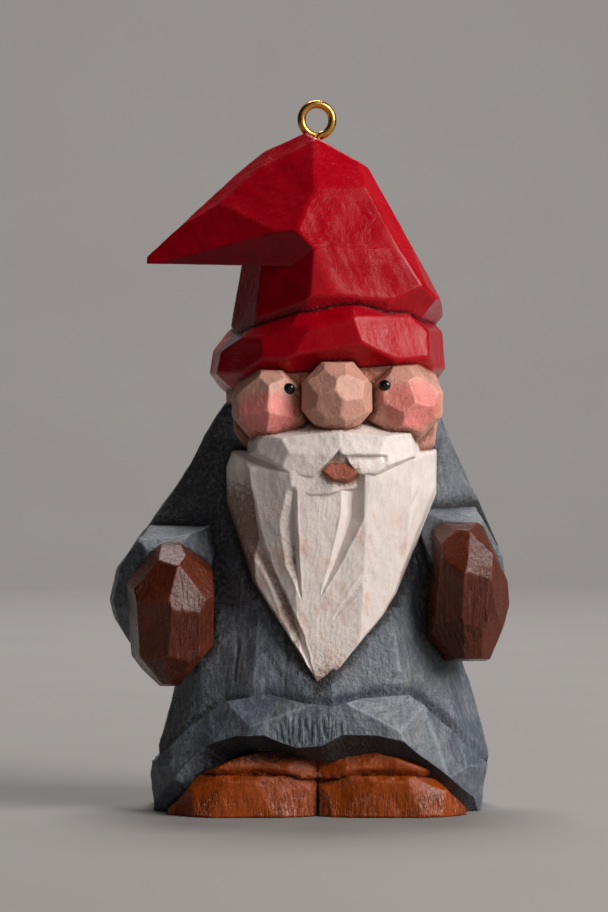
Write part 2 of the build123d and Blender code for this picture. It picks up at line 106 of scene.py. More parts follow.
class TomtePaints(bpy.types.PropertyGroup):
    hat: colour_property("Hat", "Red of the hat", tint(166, 0, 22))
    skin: colour_property("Skin", "Pale flesh of the face", tint(210, 155, 138))
    blush: colour_property("Blush", "Rosy pink on the cheeks", tint(230, 126, 120))
    wash: colour_property("Wash", "Thin brown that has run into the cuts", tint(138, 78, 54))
    lip: colour_property("Lip", "Brown-red of the mouth", tint(156, 84, 66))
    hair: colour_property("Hair", "Off-white of the beard", tint(230, 218, 213))
    coat: colour_property("Coat", "Blue-grey of the coat", tint(85, 93, 103))
    coat_high: colour_property("Coat highlights", "Paler grey dragged over the coat", tint(142, 154, 169))
    mitten: colour_property("Mittens", "Dark brown of the mittens", tint(84, 35, 19))
    boot: colour_property("Boots", "Red-brown of the boots", tint(142, 60, 9))
    bead: colour_property("Eyes", "Black of the eyes", tint(8, 8, 9))
    brass: colour_property("Brass", "Metal of the screw eye", tint(226, 176, 96))
    stage: colour_property("Stage", "Floor and backdrop", tint(143, 138, 137))


class TomteStage(bpy.types.PropertyGroup):
    key_power: FloatProperty(name="Key light", description="Power of the main soft light", default=4.6,
                             min=0, unit="POWER")
    fill_power: FloatProperty(name="Fill light", description="Power of the weak light in front",
                              default=0.28, min=0, unit="POWER")
    backdrop_power: FloatProperty(name="Backdrop light", description="Power of the light on the backdrop",
                                  default=9.5, min=0, unit="POWER")
    sky: FloatProperty(name="Room light", description="Strength of the even light all round", default=0.02,
                       min=0)
    camera_distance: length_property("Camera distance", "From the figure's middle to the camera", 0.5)
    lens: FloatProperty(name="Lens", description="Focal length on a 36 mm sensor", default=148.0,
                        unit="CAMERA")


# --- facets --------------------------------------------------------------------------------

def facing(azimuth, elevation):
    """Unit vectors: azimuth 0 faces the front (-Y), 90 faces +X; elevation is above the horizon."""
    turn, tilt = np.radians(azimuth), np.radians(elevation)
    return np.stack([np.sin(turn) * np.cos(tilt), -np.cos(turn) * np.cos(tilt), np.sin(tilt)], -1)


def flats(*strokes):
    """Planes (normal, offset) of knife strokes, each (x, y, z, azimuth, elevation)."""
    rows = np.array(strokes, float)
    normal = facing(rows[:, 3], rows[:, 4])
    return np.column_stack([normal, np.sum(normal * rows[:, :3], 1)])


def round_flats(centre, radii, *strokes):
    """Planes that touch an ellipsoid, each (azimuth, elevation). A third number lets one stand proud."""
    rows = np.array([(*stroke, 0.0)[:3] for stroke in strokes])
    normal = facing(rows[:, 0], rows[:, 1])
    reach = np.sqrt(np.sum((normal * np.array(radii)) ** 2, 1)) + rows[:, 2]
    return np.column_stack([normal, normal @ np.array(centre, float) + reach])


def outside(planes, points):
    """How far points stand outside a block: the largest distance beyond any of its planes."""
    return np.max(points @ planes[:, :3].T - planes[:, 3], 1)


HAT = flats(
    (1.4, -8.6, 82.9, 10, 36), (5.6, -11.4, 75, 11, 22), (8.8, -9.7, 77.5, 62, 31),
    (9.3, 0, 80.2, 90, 28.6), (2.6, 0, 87.4, 86, 60), (-2.2, -12, 77.3, -28, 32.7),
    (-9.1, -7.75, 78.1, -34, 21), (-9.6, -5, 82.6, -40, 46), (-4.6, 0, 88.3, -90, 67),
    (-11.7, -1, 83.5, -88, 51), (-18.2, -2.4, 77.2, -86, 47), (-12, -4.6, 80.6, -52, 44),
    (-19.4, 1.4, 74.6, -170, 14), (-13, 4.2, 79, -165, 22), (-5, 7.6, 81.6, -160, 34),
    (4, 9.2, 80.6, 172, 34), (10, 6, 78, 124, 30), (3, 11.4, 74, 180, 17), (11.6, 6.8, 74.4, 124, 24),
)
COAT_FRONT = flats(
    (-9.3, -12.6, 20, -32, 12), (-1.5, -14.3, 20, -8, 12), (5, -14.1, 20, 13, 12),
    (12, -11.6, 20, 38, 13),
)
CHEEK_BACK = ((-98, 0), (98, 0), (0, 82, 0.6), (0, -82), (-70, 44, 0.1), (70, 44, 0.1),
              (-70, -44), (70, -44), (180, 0))
CHEEK_MIDDLE = {"left": (11.2, -10.4, 53.3), "right": (-6, -10.4, 52.7)}

# Each carved piece's block, as the planes of its knife strokes.
BLOCKS = {
    "hat_peak": np.vstack([HAT, flats(
        (-1.1, -13, 74.3, -27, -12), (-10, -6.5, 71.8, 180, -85), (-22.8, -2.4, 73.4, -96, 0))]),
    "hat_crown": np.vstack([HAT, flats(
        (4, -12.205, 73.8, 11, 12), (15.6, -4.6, 69.6, 74, 27), (-0.6, -13.4, 71.5, 2, 8),
        (-0.6, -13.4, 71.5, -38, 9), (-8.2, -7.2, 68.6, -66, 8), (-10.7, 0, 68, -92, 10),
        (-8.4, 8, 68, -135, 11), (12.2, 8, 69, 128, 18), (15.4, 0.5, 69, 92, 26),
        (4, -12.9, 66.6, 5, -38), (10, -11.4, 66, 36, -38), (15.4, -3, 65.4, 76, -40),
        (14, 7, 65, 125, -38), (2, 12.6, 65.6, 180, -38), (-9, 8, 64, -130, -38),
        (-11, -1, 63.2, -85, -38), (-8.4, -8.4, 64.2, -55, -38), (-3.2, -11.8, 65.6, -22, -38),
        (0, 0, 80, 0, 90), (0, 0, 61, 0, -90))]),
    "hat_brim": np.vstack([
        round_flats((1.6, -0.7, 61), (14.6, 14.2, 16),
                    (-5, -5), (35, 9), (76, 4, 0.1), (108, 6, 0.1), (143, 4, 0.2), (180, 6),
                    (-144, 5, 0.2), (-108, 7, 0.1), (-78, 9, 0.2), (-50, 2), (-22, 4, 0.1)),
        flats((2, -13.6, 66.2, 0, 52), (8.5, -12, 65.4, 35, 50), (14.4, -4, 64.4, 76, 48),
              (13, 6, 64.6, 120, 48), (2, 12, 65.6, 180, 50), (-9, 7, 64, -130, 48),
              (-11.3, -3, 62.4, -75, 48), (-7.6, -9.6, 63.4, -48, 48), (-3.5, -12.4, 64.8, -20, 50),
              (2, -4, 66.9, 10, 86), (2, -14.6, 60.2, 5, -50), (9.5, -13, 59, 38, -50),
              (15.7, -3, 57.6, 78, -48), (14, 7, 57, 120, -48), (2, 13.2, 57.2, 180, -48),
              (-10, 8, 56.4, -130, -48), (-12.9, -2, 56.6, -80, -48), (-9.6, -9.4, 57.2, -50, -48),
              (-4, -13.4, 58.8, -20, -50), (0, 0, 53.6, 0, -90))]),
    "head": flats(
        (2.5, -11.8, 52, 0, 0), (-7.4, -9.8, 52, -38, 0), (-11, -4, 50, -74, 0), (-11.2, 4, 50, -104, 0),
        (12.4, -9.8, 52, 38, 0), (15.7, -4, 50, 74, 0), (16, 4, 50, 104, 0), (2.5, 11, 50, 180, 0),
        (-6, 9, 50, -145, 0), (11, 9, 50, 145, 0), (0, 0, 61, 0, 90), (0, 0, 42, 0, -90),
        (15, -5, 57, 70, 40), (14.8, -5.6, 48.4, 64, -18), (-9.6, -5, 47.6, -60, -16),
        (16.1, 0, 52, 90, -8), (15.5, 0, 48, 90, -35), (15.9, 0, 54, 90, 40)),
    "nose": round_flats(
        (2.5, -13.6, 54.3), (4.6, 4.7, 4.6),
        (28, 15), (-30, 26), (-14, -18), (30, -22), (-52, -3), (-86, 2), (64, 4), (92, 0), (0, 56),
        (48, 46), (-52, 44, 0.1), (-8, -52), (-45, -38), (48, -46), (0, -86), (180, 0), (-88, 44),
        (88, 40), (-88, -40), (88, -44), (-62, -62), (70, -66), (0, 84)),
    "cheek_right": round_flats(
        CHEEK_MIDDLE["right"], (5, 5, 4.8),
        (29, 12, -0.2), (-34, 14, -0.1), (-30, -20), (22, -26), (-66, 0, 0.2), (0, -62, -0.1),
        (4, 50, 0.7), (64, -6, 0.2), (-58, -46, -0.3), (-90, -40, -0.4), (88, -44), *CHEEK_BACK),
    "cheek_left": round_flats(
        CHEEK_MIDDLE["left"], (5, 5, 4.7),
        (35, 24), (-8, 14), (25, -24), (-24, -20), (-52, 4), (66, 0, 0.2), (10, 52, 0.4), (45, 52, 0.3),
        (4, -60, -0.1), (88, -44, -0.2), (-88, -44), *CHEEK_BACK),
    "moustache_right": flats(
        (-2, -16.6, 48.6, -6, 16), (-2, -17, 46.6, -8, -8), (-5.6, -15.6, 47.4, -34, 2),
        (-8, -13, 49, -72, 10), (-5.9, -14.6, 45.6, -62, -42), (-3.6, -15.6, 43.9, -18, -66),
        (1.6, -16.4, 45.9, 66, -42), (1, -16, 49.95, -12, 66), (-7, -13, 49.9, -20, 70),
        (4, -13, 48, 90, 0), (0, -10, 48, 180, 0)),
    "moustache_left": flats(
        (6, -16.6, 48.8, 8, 16), (6, -17, 46.8, 8, -8), (9.8, -15.6, 47.8, 34, 4),
        (12.4, -13, 49, 76, 10), (11.2, -14.4, 46, 52, -46), (7.6, -15.6, 44.1, 8, -68),
        (3.6, -16.4, 45.9, -66, -42), (5.5, -16, 50.4, 14, 62), (11.4, -13, 50, 20, 70),
        (1.4, -13, 48, -90, 0), (0, -10, 48, 180, 0)),
    "lower_lip": flats(
        (3.2, -17, 44.6, 2, 24), (0.3, -15.8, 44.6, -80, 44), (5.3, -15.8, 45.2, 72, 8),
        (0.6, -15.8, 44.2, -60, -40), (2.9, -16.4, 43.3, 0, -70), (5, -16, 44, 62, -46),
        (3, -16, 47, 0, 80), (0, -12, 45, 180, 0)),
    "chin_tuft": flats(
        (-1, -16.4, 43, -8, 6), (-4.8, -15.2, 43.4, -46, 0), (3.4, -16.2, 43.4, 24, 2),
        (5.6, -14, 44, 70, 0), (-3.4, -15.6, 42.2, -38, -52), (0.4, -16, 41.4, 4, -62),
        (4.4, -15.6, 42.4, 40, -56), (0, -14, 45, 0, 88), (-6.2, -14, 43, -90, 0),
        (0, -11.6, 43, 180, 0)),
    "beard": flats(
        (2, -16, 36, 2, -3), (-5.5, -15, 38, -28, -4), (-10.2, -11, 40, -56, -4),
        (8.4, -14.9, 38, 28, -4), (13.6, -11, 41, 58, -5), (-2.4, -16.6, 25, -34, -6),
        (3.6, -16.8, 25, 26, -5), (-11.9, -6, 44, -86, 0), (-11, -8, 38.4, -82, -15),
        (-7.4, -12.4, 29, -82, -31), (15.6, -6, 45, 86, 0), (14.5, -8, 39.8, 82, -19),
        (12.9, -10.6, 33.4, 82, -29), (9.2, -12.6, 26.9, 82, -38), (3.4, -14, 19.7, 82, -44),
        (-12.1, -6, 44.9, -88, 21), (0, -16.4, 17, 0, -60), (-9, -12.4, 46.2, -24, 46),
        (14, -11.6, 46.8, 40, 50), (0, -4, 40, 180, -20), (0, -8, 47.4, 0, 88)),
    "coat_yoke": np.vstack([COAT_FRONT, flats(
        (-17, 2, 45.7, -90, 32), (-15, -5.8, 43, -50, 18), (17.2, -4.8, 45.4, 46, 22),
        (19.6, 2, 44.6, 90, 24), (21, -2.4, 38.4, 62, 12), (16, 9, 44, 134, 20), (2, 12.4, 46, 180, 12),
        (-13, 9, 44, -134, 24), (2.5, 0, 53.6, 0, 88), (-20, -6, 38, -62, 8), (0, 14, 34, 180, -20),
        (18, 9, 33, 140, -24), (-18, 9, 33, -140, -24), (23.4, 0, 33, 90, -30), (-23.6, 0, 33, -90, -30),
        (0, 0, 27, 0, -90))]),
    "coat_body": np.vstack([COAT_FRONT, flats(
        (-15.6, -8.8, 20, -60, 13), (17.4, -5.6, 20, 66, 15), (19.2, 2, 19, 92, 15),
        (-18.2, 2, 18, -91, 14), (15, 10.6, 20, 130, 8), (6, 14.4, 20, 160, 5), (-6, 14.2, 20, -162, 5),
        (-14.8, 10.2, 20, -128, 8), (-14, 9, 40, -134, 20), (15, 9, 40, 134, 18), (0, 13.2, 40, 180, 10),
        (0, 0, 44, 0, 90), (0, 0, 6, 0, -90))]),
    "coat_hem": flats(
        (-19.4, -10.2, 8, -60, 16), (-12.4, -15.2, 8, -34, 15), (-3, -17.55, 9, -6, 11),
        (5.4, -17.3, 9.6, 9, 9), (13.2, -15.2, 9.6, 34, 17), (19.6, -9.2, 9, 60, 17),
        (22.1, 2, 8.6, 92, 14), (-21.2, 2, 8.6, -91, 14), (17.6, 11.4, 8, 130, 10), (6.5, 16, 8, 160, 6),
        (-6.5, 15.8, 8, -162, 6), (-17, 11, 8, -128, 10), (22.5, 0, 3.6, 88, -10), (-22.2, 0, 3, -88, -8),
        (20.6, -8.4, 3, 58, -8), (-20, -9.4, 2.6, -58, -8), (0, 16.6, 3, 180, -6),
        (-16.4, -12.9, 9.6, -47, 20), (-8.4, -16.5, 11.8, -16, 34), (9.6, -16.4, 11.6, 22, 30),
        (16.6, -12.6, 9.4, 48, 19)),
    "sleeve_right": flats(
        (-24.2, 0, 35, -88, 36), (-26.9, -1, 29.6, -86, 12), (-26.8, -1, 25.4, -86, -14),
        (-25.9, 0, 23.6, -88, -30), (-23.6, 0, 20.8, -88, -58), (-25, -7.6, 30, -52, 10),
        (-24, -7.6, 23.6, -52, -24), (-19, -11, 30, -8, 10), (-18.6, -8.8, 35.8, -12, 50),
        (-14.2, -8, 33, 40, 22), (-20, -8, 21.4, -10, -52), (-22, 6.4, 29, -140, 4), (-18, 8, 29, 178, 6),
        (-20, 3, 20.6, -170, -60), (-14, 0, 24, 80, -10), (-18, 4, 38, -160, 50),
        (-20, -2, 37.6, -30, 74)),
    "sleeve_left": flats(
        (23.2, 0, 36.2, 88, 27), (24.8, -1, 31, 86, 7), (24.6, -1, 26, 86, -14), (22.4, -6.8, 34, 50, 22),
        (23, -7.2, 28, 52, -6), (19, -9.4, 32, 8, 10), (18, -7.4, 38.6, 10, 50), (15, -6.6, 37, -40, 24),
        (20, -6.8, 23.6, 10, -52), (21.8, 7.4, 31, 140, 4), (18, 9, 31, 180, 6), (20, 4, 22.8, 170, -60),
        (14.4, 0, 27, -80, -10), (18.4, 5, 40, 160, 50), (19, 0, 40.2, 30, 70)),
    "mitten_right": np.vstack([flats((-14.6, -12, 20.8, 88, -40), (-16.4, -12, 18, 60, -62)), round_flats(
        (-18.7, -11.6, 25.7), (5.3, 5.6, 8.8),
        (-8, 62, -0.1), (-28, 24), (22, 14, 0.2), (-26, -4), (20, -8, 0.1), (60, -6, 0.1), (52, 30),
        (-30, -46), (6, -42, 0.1), (48, -38, 0.2), (-76, -4), (-70, 38), (95, 0, -0.2), (-75, -42),
        (0, -82), (-135, 0), (135, 0), (180, 40, 0.2), (180, -35), (75, 48, 0.1))]),
    "mitten_left": round_flats(
        (19.6, -9.8, 28.8), (4.6, 5.8, 9.2),
        (-16, 32), (28, 26, -0.2), (70, 6, -0.1), (66, 44, -0.5), (18, -3), (-36, 0, 0.1),
        (-30, -24, 0.2), (12, -26, 0.2), (46, -20, 0.3), (-80, 5, -0.1),
        (0, 80, -0.4), (92, -22, 0.4), (0, -84, -0.4), (-60, 50, 0.3), (-70, -40, 0.3), (-135, 0),
        (130, 0), (180, 38, 0.2), (180, -35), (86, 24, -0.2)),
}


def boot_planes(side, low, high, *strokes):
    """A part of a boot between two heights; side is 1 for the +X boot and -1 for the other, whose
    strokes are mirrored."""
    shared = ((0.05, 0, 0, -90, 0), (0, -2.2, 0, 180, 0), (19.4, 0, 0.9, 90, 8), (17.2, 0, 3.1, 90, 44),
              (11.8, 0, 6.9, 90, 70))
    cuts = [(side * x, y, z, side * azimuth, elevation) for x, y, z, azimuth, elevation in shared + strokes]
    return flats((0, 0, low, 0, -90), (0, 0, high, 0, 90), *cuts)


for _name, _side in (("left", 1), ("right", -1)):
    BLOCKS["boot_foot_" + _name] = boot_planes(
        _side, 0, 5.15,
        (9.5, -16.2, 2, 0, 6), (16.6, -14.6, 2, 42, 8), (2.2, -15.6, 2, -34, 4), (8, -15.9, 4.6, 0, 42),
        (15.6, -13.6, 4.6, 38, 44), (2.4, -14.6, 4.6, -30, 40), (6.2, -16, 2.6, -12, 12),
        (13.6, -15.8, 2.4, 20, 14))
    BLOCKS["boot_shaft_" + _name] = boot_planes(
        _side, 5, 8.5,
        (9.5, -15.2, 7, 0, 20), (15.6, -13, 6.6, 38, 22), (3.2, -14.6, 7, -24, 18),
        (9.5, -15, 5.8, 0, -38), (15.6, -13, 5.8, 38, -36), (6.4, -14.9, 7.4, -12, 34))


# --- surfaces ------------------------------------------------------------------------------

def waves(points, length, seed):
    """Smooth random height, about -1 to 1: a sum of sines that run in random directions.
    length is their wavelength."""
    draw = np.random.default_rng(seed)
    ways = draw.normal(size=(9, 3))
    ways /= np.linalg.norm(ways, axis=1)[:, None]
    pitch = 2 * np.pi / (length * draw.uniform(0.7, 1.6, 9))
    start = draw.uniform(0, 2 * np.pi, 9)
    return np.sin(points @ (ways * pitch[:, None]).T + start).sum(1) / 4.0


def scoops(points, size, depth, seed, tall=1.6):
    """Shallow scoops of a knife, with a ridge between neighbours: depth * (min(2.2 * d^2, 1.5) - 0.6),
    where d is the distance to the nearest of many random centres, as a share of size. tall stretches
    the scoops upright."""
    low, high = points.min(0), points.max(0)
    draw = np.random.default_rng(seed)
    stretch = np.array([1, 1, 1 / tall]) / size
    count = int(min(260, 2.2 * np.prod(np.ceil((high - low) * stretch)) ** 0.8))
    centres = points[draw.integers(0, len(points), count)]
    best = np.full(len(points), 1e3)
    for centre in centres:
        best = np.minimum(best, np.sum(((points - centre) * stretch) ** 2, 1))
    return depth * (np.minimum(best * 2.2, 1.5) - 0.6)


def ball_faces(rings, columns):
    """Faces of a closed skin: a point, then rings of points, then a point. Quads join the rings and
    triangles close the two ends."""
    ring = np.arange(columns)
    after = (ring + 1) % columns
    level = 1 + np.arange(rings - 1)[:, None] * columns
    quads = np.stack([level + ring, level + after, level + columns + after, level + columns + ring], -1)
    last = 1 + rings * columns
    first_fan = np.stack([np.zeros(columns, int), 1 + after, 1 + ring], -1)
    last_fan = np.stack([np.full(columns, last), last - columns + ring, last - columns + after], -1)
    return quads.reshape(-1, 4), np.vstack([first_fan, last_fan])


def skin_mesh(name, points, rings, columns, marks):
    """Writes a closed skin's points (in millimetres) and its marks into a new mesh object."""
    quads, fans = ball_faces(rings, columns)
    centre = points.mean(0)
    a, b, c = (points[quads[:, k]] - centre for k in (0, 1, 2))
    if np.sum(a * np.cross(b, c)) < 0:
        quads, fans = quads[:, ::-1], fans[:, ::-1]
    mesh = bpy.data.meshes.new(name)
    corners = np.concatenate([quads.ravel(), fans.ravel()])
    sizes = np.concatenate([np.full(len(quads), 4), np.full(len(fans), 3)])
    mesh.vertices.add(len(points))
    mesh.vertices.foreach_set("co", (points * MM).astype(np.float32).ravel())
    mesh.loops.add(len(corners))
    mesh.loops.foreach_set("vertex_index", corners.astype(np.int32))
    mesh.polygons.add(len(sizes))
    mesh.polygons.foreach_set("loop_start", (np.cumsum(sizes) - sizes).astype(np.int32))
    mesh.update(calc_edges=True)
    mesh.validate()
    mesh.shade_smooth()
    for mark, values in marks.items():
        mesh.attributes.new(mark, "FLOAT", "POINT").data.foreach_set("value", values.astype(np.float32))
    piece = bpy.data.objects.new(name, mesh)
    bpy.context.scene.collection.objects.link(piece)
    return piece


def ray_grid(start, end, rings, columns, crowd):
    """Rays that leave a line inside a block. Row by row the ray swings from straight back along the
    line to straight on along it, while its foot moves from the line's start to its end. Columns go
    round the line, closer together towards the front by the share crowd."""
    start, end = np.array(start, float), np.array(end, float)
    along = (end - start) / np.linalg.norm(end - start)
    across = np.array([0.0, -1.0, 0.0])
    across -= along * (across @ along)
    across /= np.linalg.norm(across)
    side = np.cross(along, across)
    swing = np.pi * np.arange(1, rings + 1) / (rings + 1)
    even = 2 * np.pi * np.arange(columns) / columns
    turn = even - crowd * np.sin(even)
    share = (1 - np.cos(swing)) / 2
    foot = start + share[:, None] * (end - start)
    round_it = np.cos(turn)[:, None] * across + np.sin(turn)[:, None] * side
    ray = (-np.cos(swing)[:, None, None] * along + np.sin(swing)[:, None, None] * round_it)
    foot = np.repeat(foot, columns, 0)
    ray = ray.reshape(-1, 3)
    foot = np.vstack([start, foot, end])
    return foot, np.vstack([-along, ray, along])


def meet(planes, foot, ray, rounding):
    """Where rays leave a block, and which way its skin faces there. A ray reaches its nearest plane,
    less k * log(1 + exp(-more / k)) for every other plane, where more is how much further off that
    plane is. k is the rounding times the sine of the angle between the two planes, so blunt and
    sharp edges are rounded over the same width."""
    closing = ray @ planes[:, :3].T
    room = planes[:, 3] - foot @ planes[:, :3].T
    reach = np.where(closing > 1e-4, np.maximum(room, 0.05) / np.maximum(closing, 1e-4), 1e3)
    first = reach.argmin(1)
    nearest = reach[np.arange(len(reach)), first]
    turn = np.sqrt(np.clip(1 - (planes[:, :3] @ planes[:, :3].T) ** 2, 0, 1))
    soft = np.maximum(rounding * turn[first], 0.004)
    share = np.exp(-np.minimum((reach - nearest[:, None]) / soft, 40))
    cut = np.sum(soft * np.log1p(share), 1)
    normal = share @ planes[:, :3]
    return foot + ray * (nearest - cut)[:, None], normal / np.linalg.norm(normal, axis=1)[:, None]


def facet_marks(planes, points, near, dusty=0.85):
    """Marks for the paint. tone: a random value for each facet. edge: 1 on a knife edge, fading
    with the distance to the next plane. seam: 1 where a neighbouring block comes out, fading
    outward over the given reach; dirt is painted there, and on the coat also painted shade."""
    depth = planes[:, 3] - points @ planes[:, :3].T
    order = np.partition(depth, 1, axis=1)
    gap = np.maximum(order[:, 1] - order[:, 0], 0)
    tone = np.random.default_rng(7).uniform(-1, 1, len(planes))[np.argmin(depth, 1)]
    seam = np.zeros(len(points))
    for other in near:
        away = outside(BLOCKS[other], points)
        seam = np.maximum(seam, np.exp(-np.maximum(away, 0) / dusty))
    return gap, {"tone": tone, "edge": np.exp(-gap / EDGE_REACH), "seam": seam}


def knife_marks(gap, ripple):
    """Height of what the knife leaves on a facet. It dips by hollow * (1 - exp(-gap / reach)), where
    gap is the distance to the next plane, and carries a ripple of slow waves."""
    sizes = bpy.context.scene.tomte_carving
    return -sizes.hollow / MM * (1 - np.exp(-gap / DIP_REACH)) + sizes.waviness / MM * ripple


def carved(name, start, end, rings, columns, near=(), crowd=0.35, relief=None, trim=None, dusty=0.85):
    """A knife-cut piece: rays from a line inside its block out to its facets, then the marks of the
    knife. relief(points, normal) may give heights to add and marks of its own, of which shade, a painted
    shade, deepens the seam mark and any other replaces the facets' mark. trim(points) may move finished
    points."""
    sizes = bpy.context.scene.tomte_carving
    planes = BLOCKS[name]
    foot, ray = ray_grid(start, end, rings, columns, crowd)
    points, normal = meet(planes, foot, ray, sizes.rounding / MM)
    gap, marks = facet_marks(planes, points, near, dusty)
    height = knife_marks(gap, waves(points, 3.6, 11) + 0.4 * waves(points, 1.1, 12))
    marks["rub"] = np.zeros(len(points))
    if relief:
        extra, own = relief(points, normal)
        height += extra
        # The shade mark is painted shade: it deepens the dark seam paint.
        marks["seam"] = np.maximum(marks["seam"], own.pop("shade", 0.0))
        marks.update(own)
    points = points + normal * height[:, None]
    return skin_mesh(name, trim(points) if trim else points, rings, columns, marks)


def step(value, middle, width):
    """A soft step from 0 to 1."""
    return 1 / (1 + np.exp(-np.clip((value - middle) / width, -40, 40)))


def height_at(line, x):
    """Height at x of a line given by its corners (x, z)."""
    return np.interp(x, *np.array(line).T)


def facing_front(normal):
    """1 on facets that face the front, falling to 0 on those that turn well away."""
    return np.clip(-normal[:, 1] * 1.6 - 0.3, 0, 1)


def whittled(size, depth, seed, wash, reach):
    """A relief of small scoops, with painted shade as strong as wash further to the figure's right than
    reach.
    """
    def relief(points, normal):
        return scoops(points, size, depth, seed), {"shade": wash * step(-points[:, 0], reach, 2.0)}
    return relief


def in_gouge(points, path, wander=0.0):
    """How far in from the rim of a V cut points lie, seen from the front, 0 beyond it; and how far
    outside the rim. The path's corners are (x, z, half width), and wander shifts the rim."""
    flat = points[:, [0, 2]]
    deep, beyond = np.full(len(points), -1e3), np.full(len(points), 1e3)
    for a, b in zip(np.array(path[:-1], float), np.array(path[1:], float)):
        way = b[:2] - a[:2]
        along = np.clip((flat - a[:2]) @ way / (way @ way), 0, 1)
        away = np.linalg.norm(flat - a[:2] - along[:, None] * way, axis=1) + wander
        width = a[2] + along * (b[2] - a[2])
        deep = np.maximum(deep, width - away)
        beyond = np.minimum(beyond, away - width)
    return np.maximum(deep, 0), beyond


def tube_mesh(name, path, radius):
    """A round wire along a path: circles square to the path, closed to a point at both ends.
    radius is one value for each point of the path."""
    ahead = np.gradient(path, axis=0)
    ahead /= np.linalg.norm(ahead, axis=1)[:, None]
    side = np.cross(ahead, np.array([0.0, 1.0, 0.0]))
    side /= np.linalg.norm(side, axis=1)[:, None]
    up = np.cross(side, ahead)
    columns = 48
    turn = 2 * np.pi * np.arange(columns) / columns
    ring = np.cos(turn)[None, :, None] * side[:, None] + np.sin(turn)[None, :, None] * up[:, None]
    points = path[:, None] + ring * radius[:, None, None]
    points = np.vstack([path[0], points.reshape(-1, 3), path[-1]])
    return skin_mesh(name, points, len(path), columns, {})


# --- paint ---------------------------------------------------------------------------------

PAINTED = "painted_"


class Value:
    """A socket in shader maths. An operator on it adds a Math node."""

    def __init__(self, paint, socket):
        self.paint, self.socket = paint, socket

    def _math(self, operation, *values):
        return self.paint.node("ShaderNodeMath", {"operation": operation}, *values)

    def __add__(self, other):
        return self._math("ADD", self, other)

    def __sub__(self, other):
        return self._math("SUBTRACT", self, other)

    def __mul__(self, other):
        return self._math("MULTIPLY", self, other)

    def __rsub__(self, other):
        return self._math("SUBTRACT", other, self)

    __radd__, __rmul__ = __add__, __mul__


class Paint:
    """A material that is being mixed."""

    def __init__(self, name):
        self.material = bpy.data.materials.new(PAINTED + name)
        self.material.use_nodes = True
        self.tree = self.material.node_tree
        self.shader = self.tree.nodes["Principled BSDF"]
        self.place = self.node("ShaderNodeVectorMath", {"operation": "SCALE"},
                               self.node("ShaderNodeTexCoord", {}, out="Object"), Scale=1 / MM)

    def node(self, kind, settings, *values, out=0, **named):
        """Adds a node: its settings first, then values or links for its sockets, in order or by name."""
        made = self.tree.nodes.new(kind)
        for setting, value in settings.items():
            setattr(made, setting, value)
        for key, value in [*enumerate(values), *named.items()]:
            self.feed(made.inputs[key], value)
        return Value(self, made.outputs[out])

    def feed(self, socket, value):
        if isinstance(value, Value):
            self.tree.links.new(value.socket, socket)
        else:
            socket.default_value = value

    def noise(self, scale, detail=3.0, stretch=None, roughness=0.5):
        """Noise from 0 to 1; scale is waves for each millimetre, stretch its share along X, Y and Z."""
        place = self.place
        if stretch:
            place = self.node("ShaderNodeVectorMath", {"operation": "MULTIPLY"}, place, stretch)
        return self.node("ShaderNodeTexNoise", {}, Vector=place, Scale=scale, Detail=detail,
                         Roughness=roughness)

    def mark(self, name):
        return self.node("ShaderNodeAttribute", {"attribute_name": name}, out="Fac")

    def band(self, value, low, high):
        """0 below low, 1 above high, and a smooth step between."""
        return self.node("ShaderNodeMapRange", {"interpolation_type": "SMOOTHSTEP"}, value, low, high)

    def blend(self, factor, first, second, how="MIX"):
        """Mixes two colours."""
        mix = self.tree.nodes.new("ShaderNodeMix")
        mix.data_type, mix.blend_type = "RGBA", how
        for index, value in ((0, factor), (6, first), (7, second)):
            if not isinstance(value, (Value, float, int)):
                value = (*value[:3], 1.0)
            self.feed(mix.inputs[index], value)
        return Value(self, mix.outputs[2])

    def grey(self, value):
        """A value as a colour."""
        return self.node("ShaderNodeCombineColor", {}, value, value, value)

    def bump(self, height):
        """Height in millimetres, as a change of normal."""
        return self.node("ShaderNodeBump", {}, Height=height, Strength=1.0, Distance=MM)

    def finish(self, colour, roughness, height, **fixed):
        self.feed(self.shader.inputs["Base Color"], colour)
        self.feed(self.shader.inputs["Roughness"], roughness)
        if height is not None:
            self.feed(self.shader.inputs["Normal"], self.bump(height))
        for socket, value in fixed.items():
            self.shader.inputs[socket.replace("_", " ")].default_value = value
        return self.material


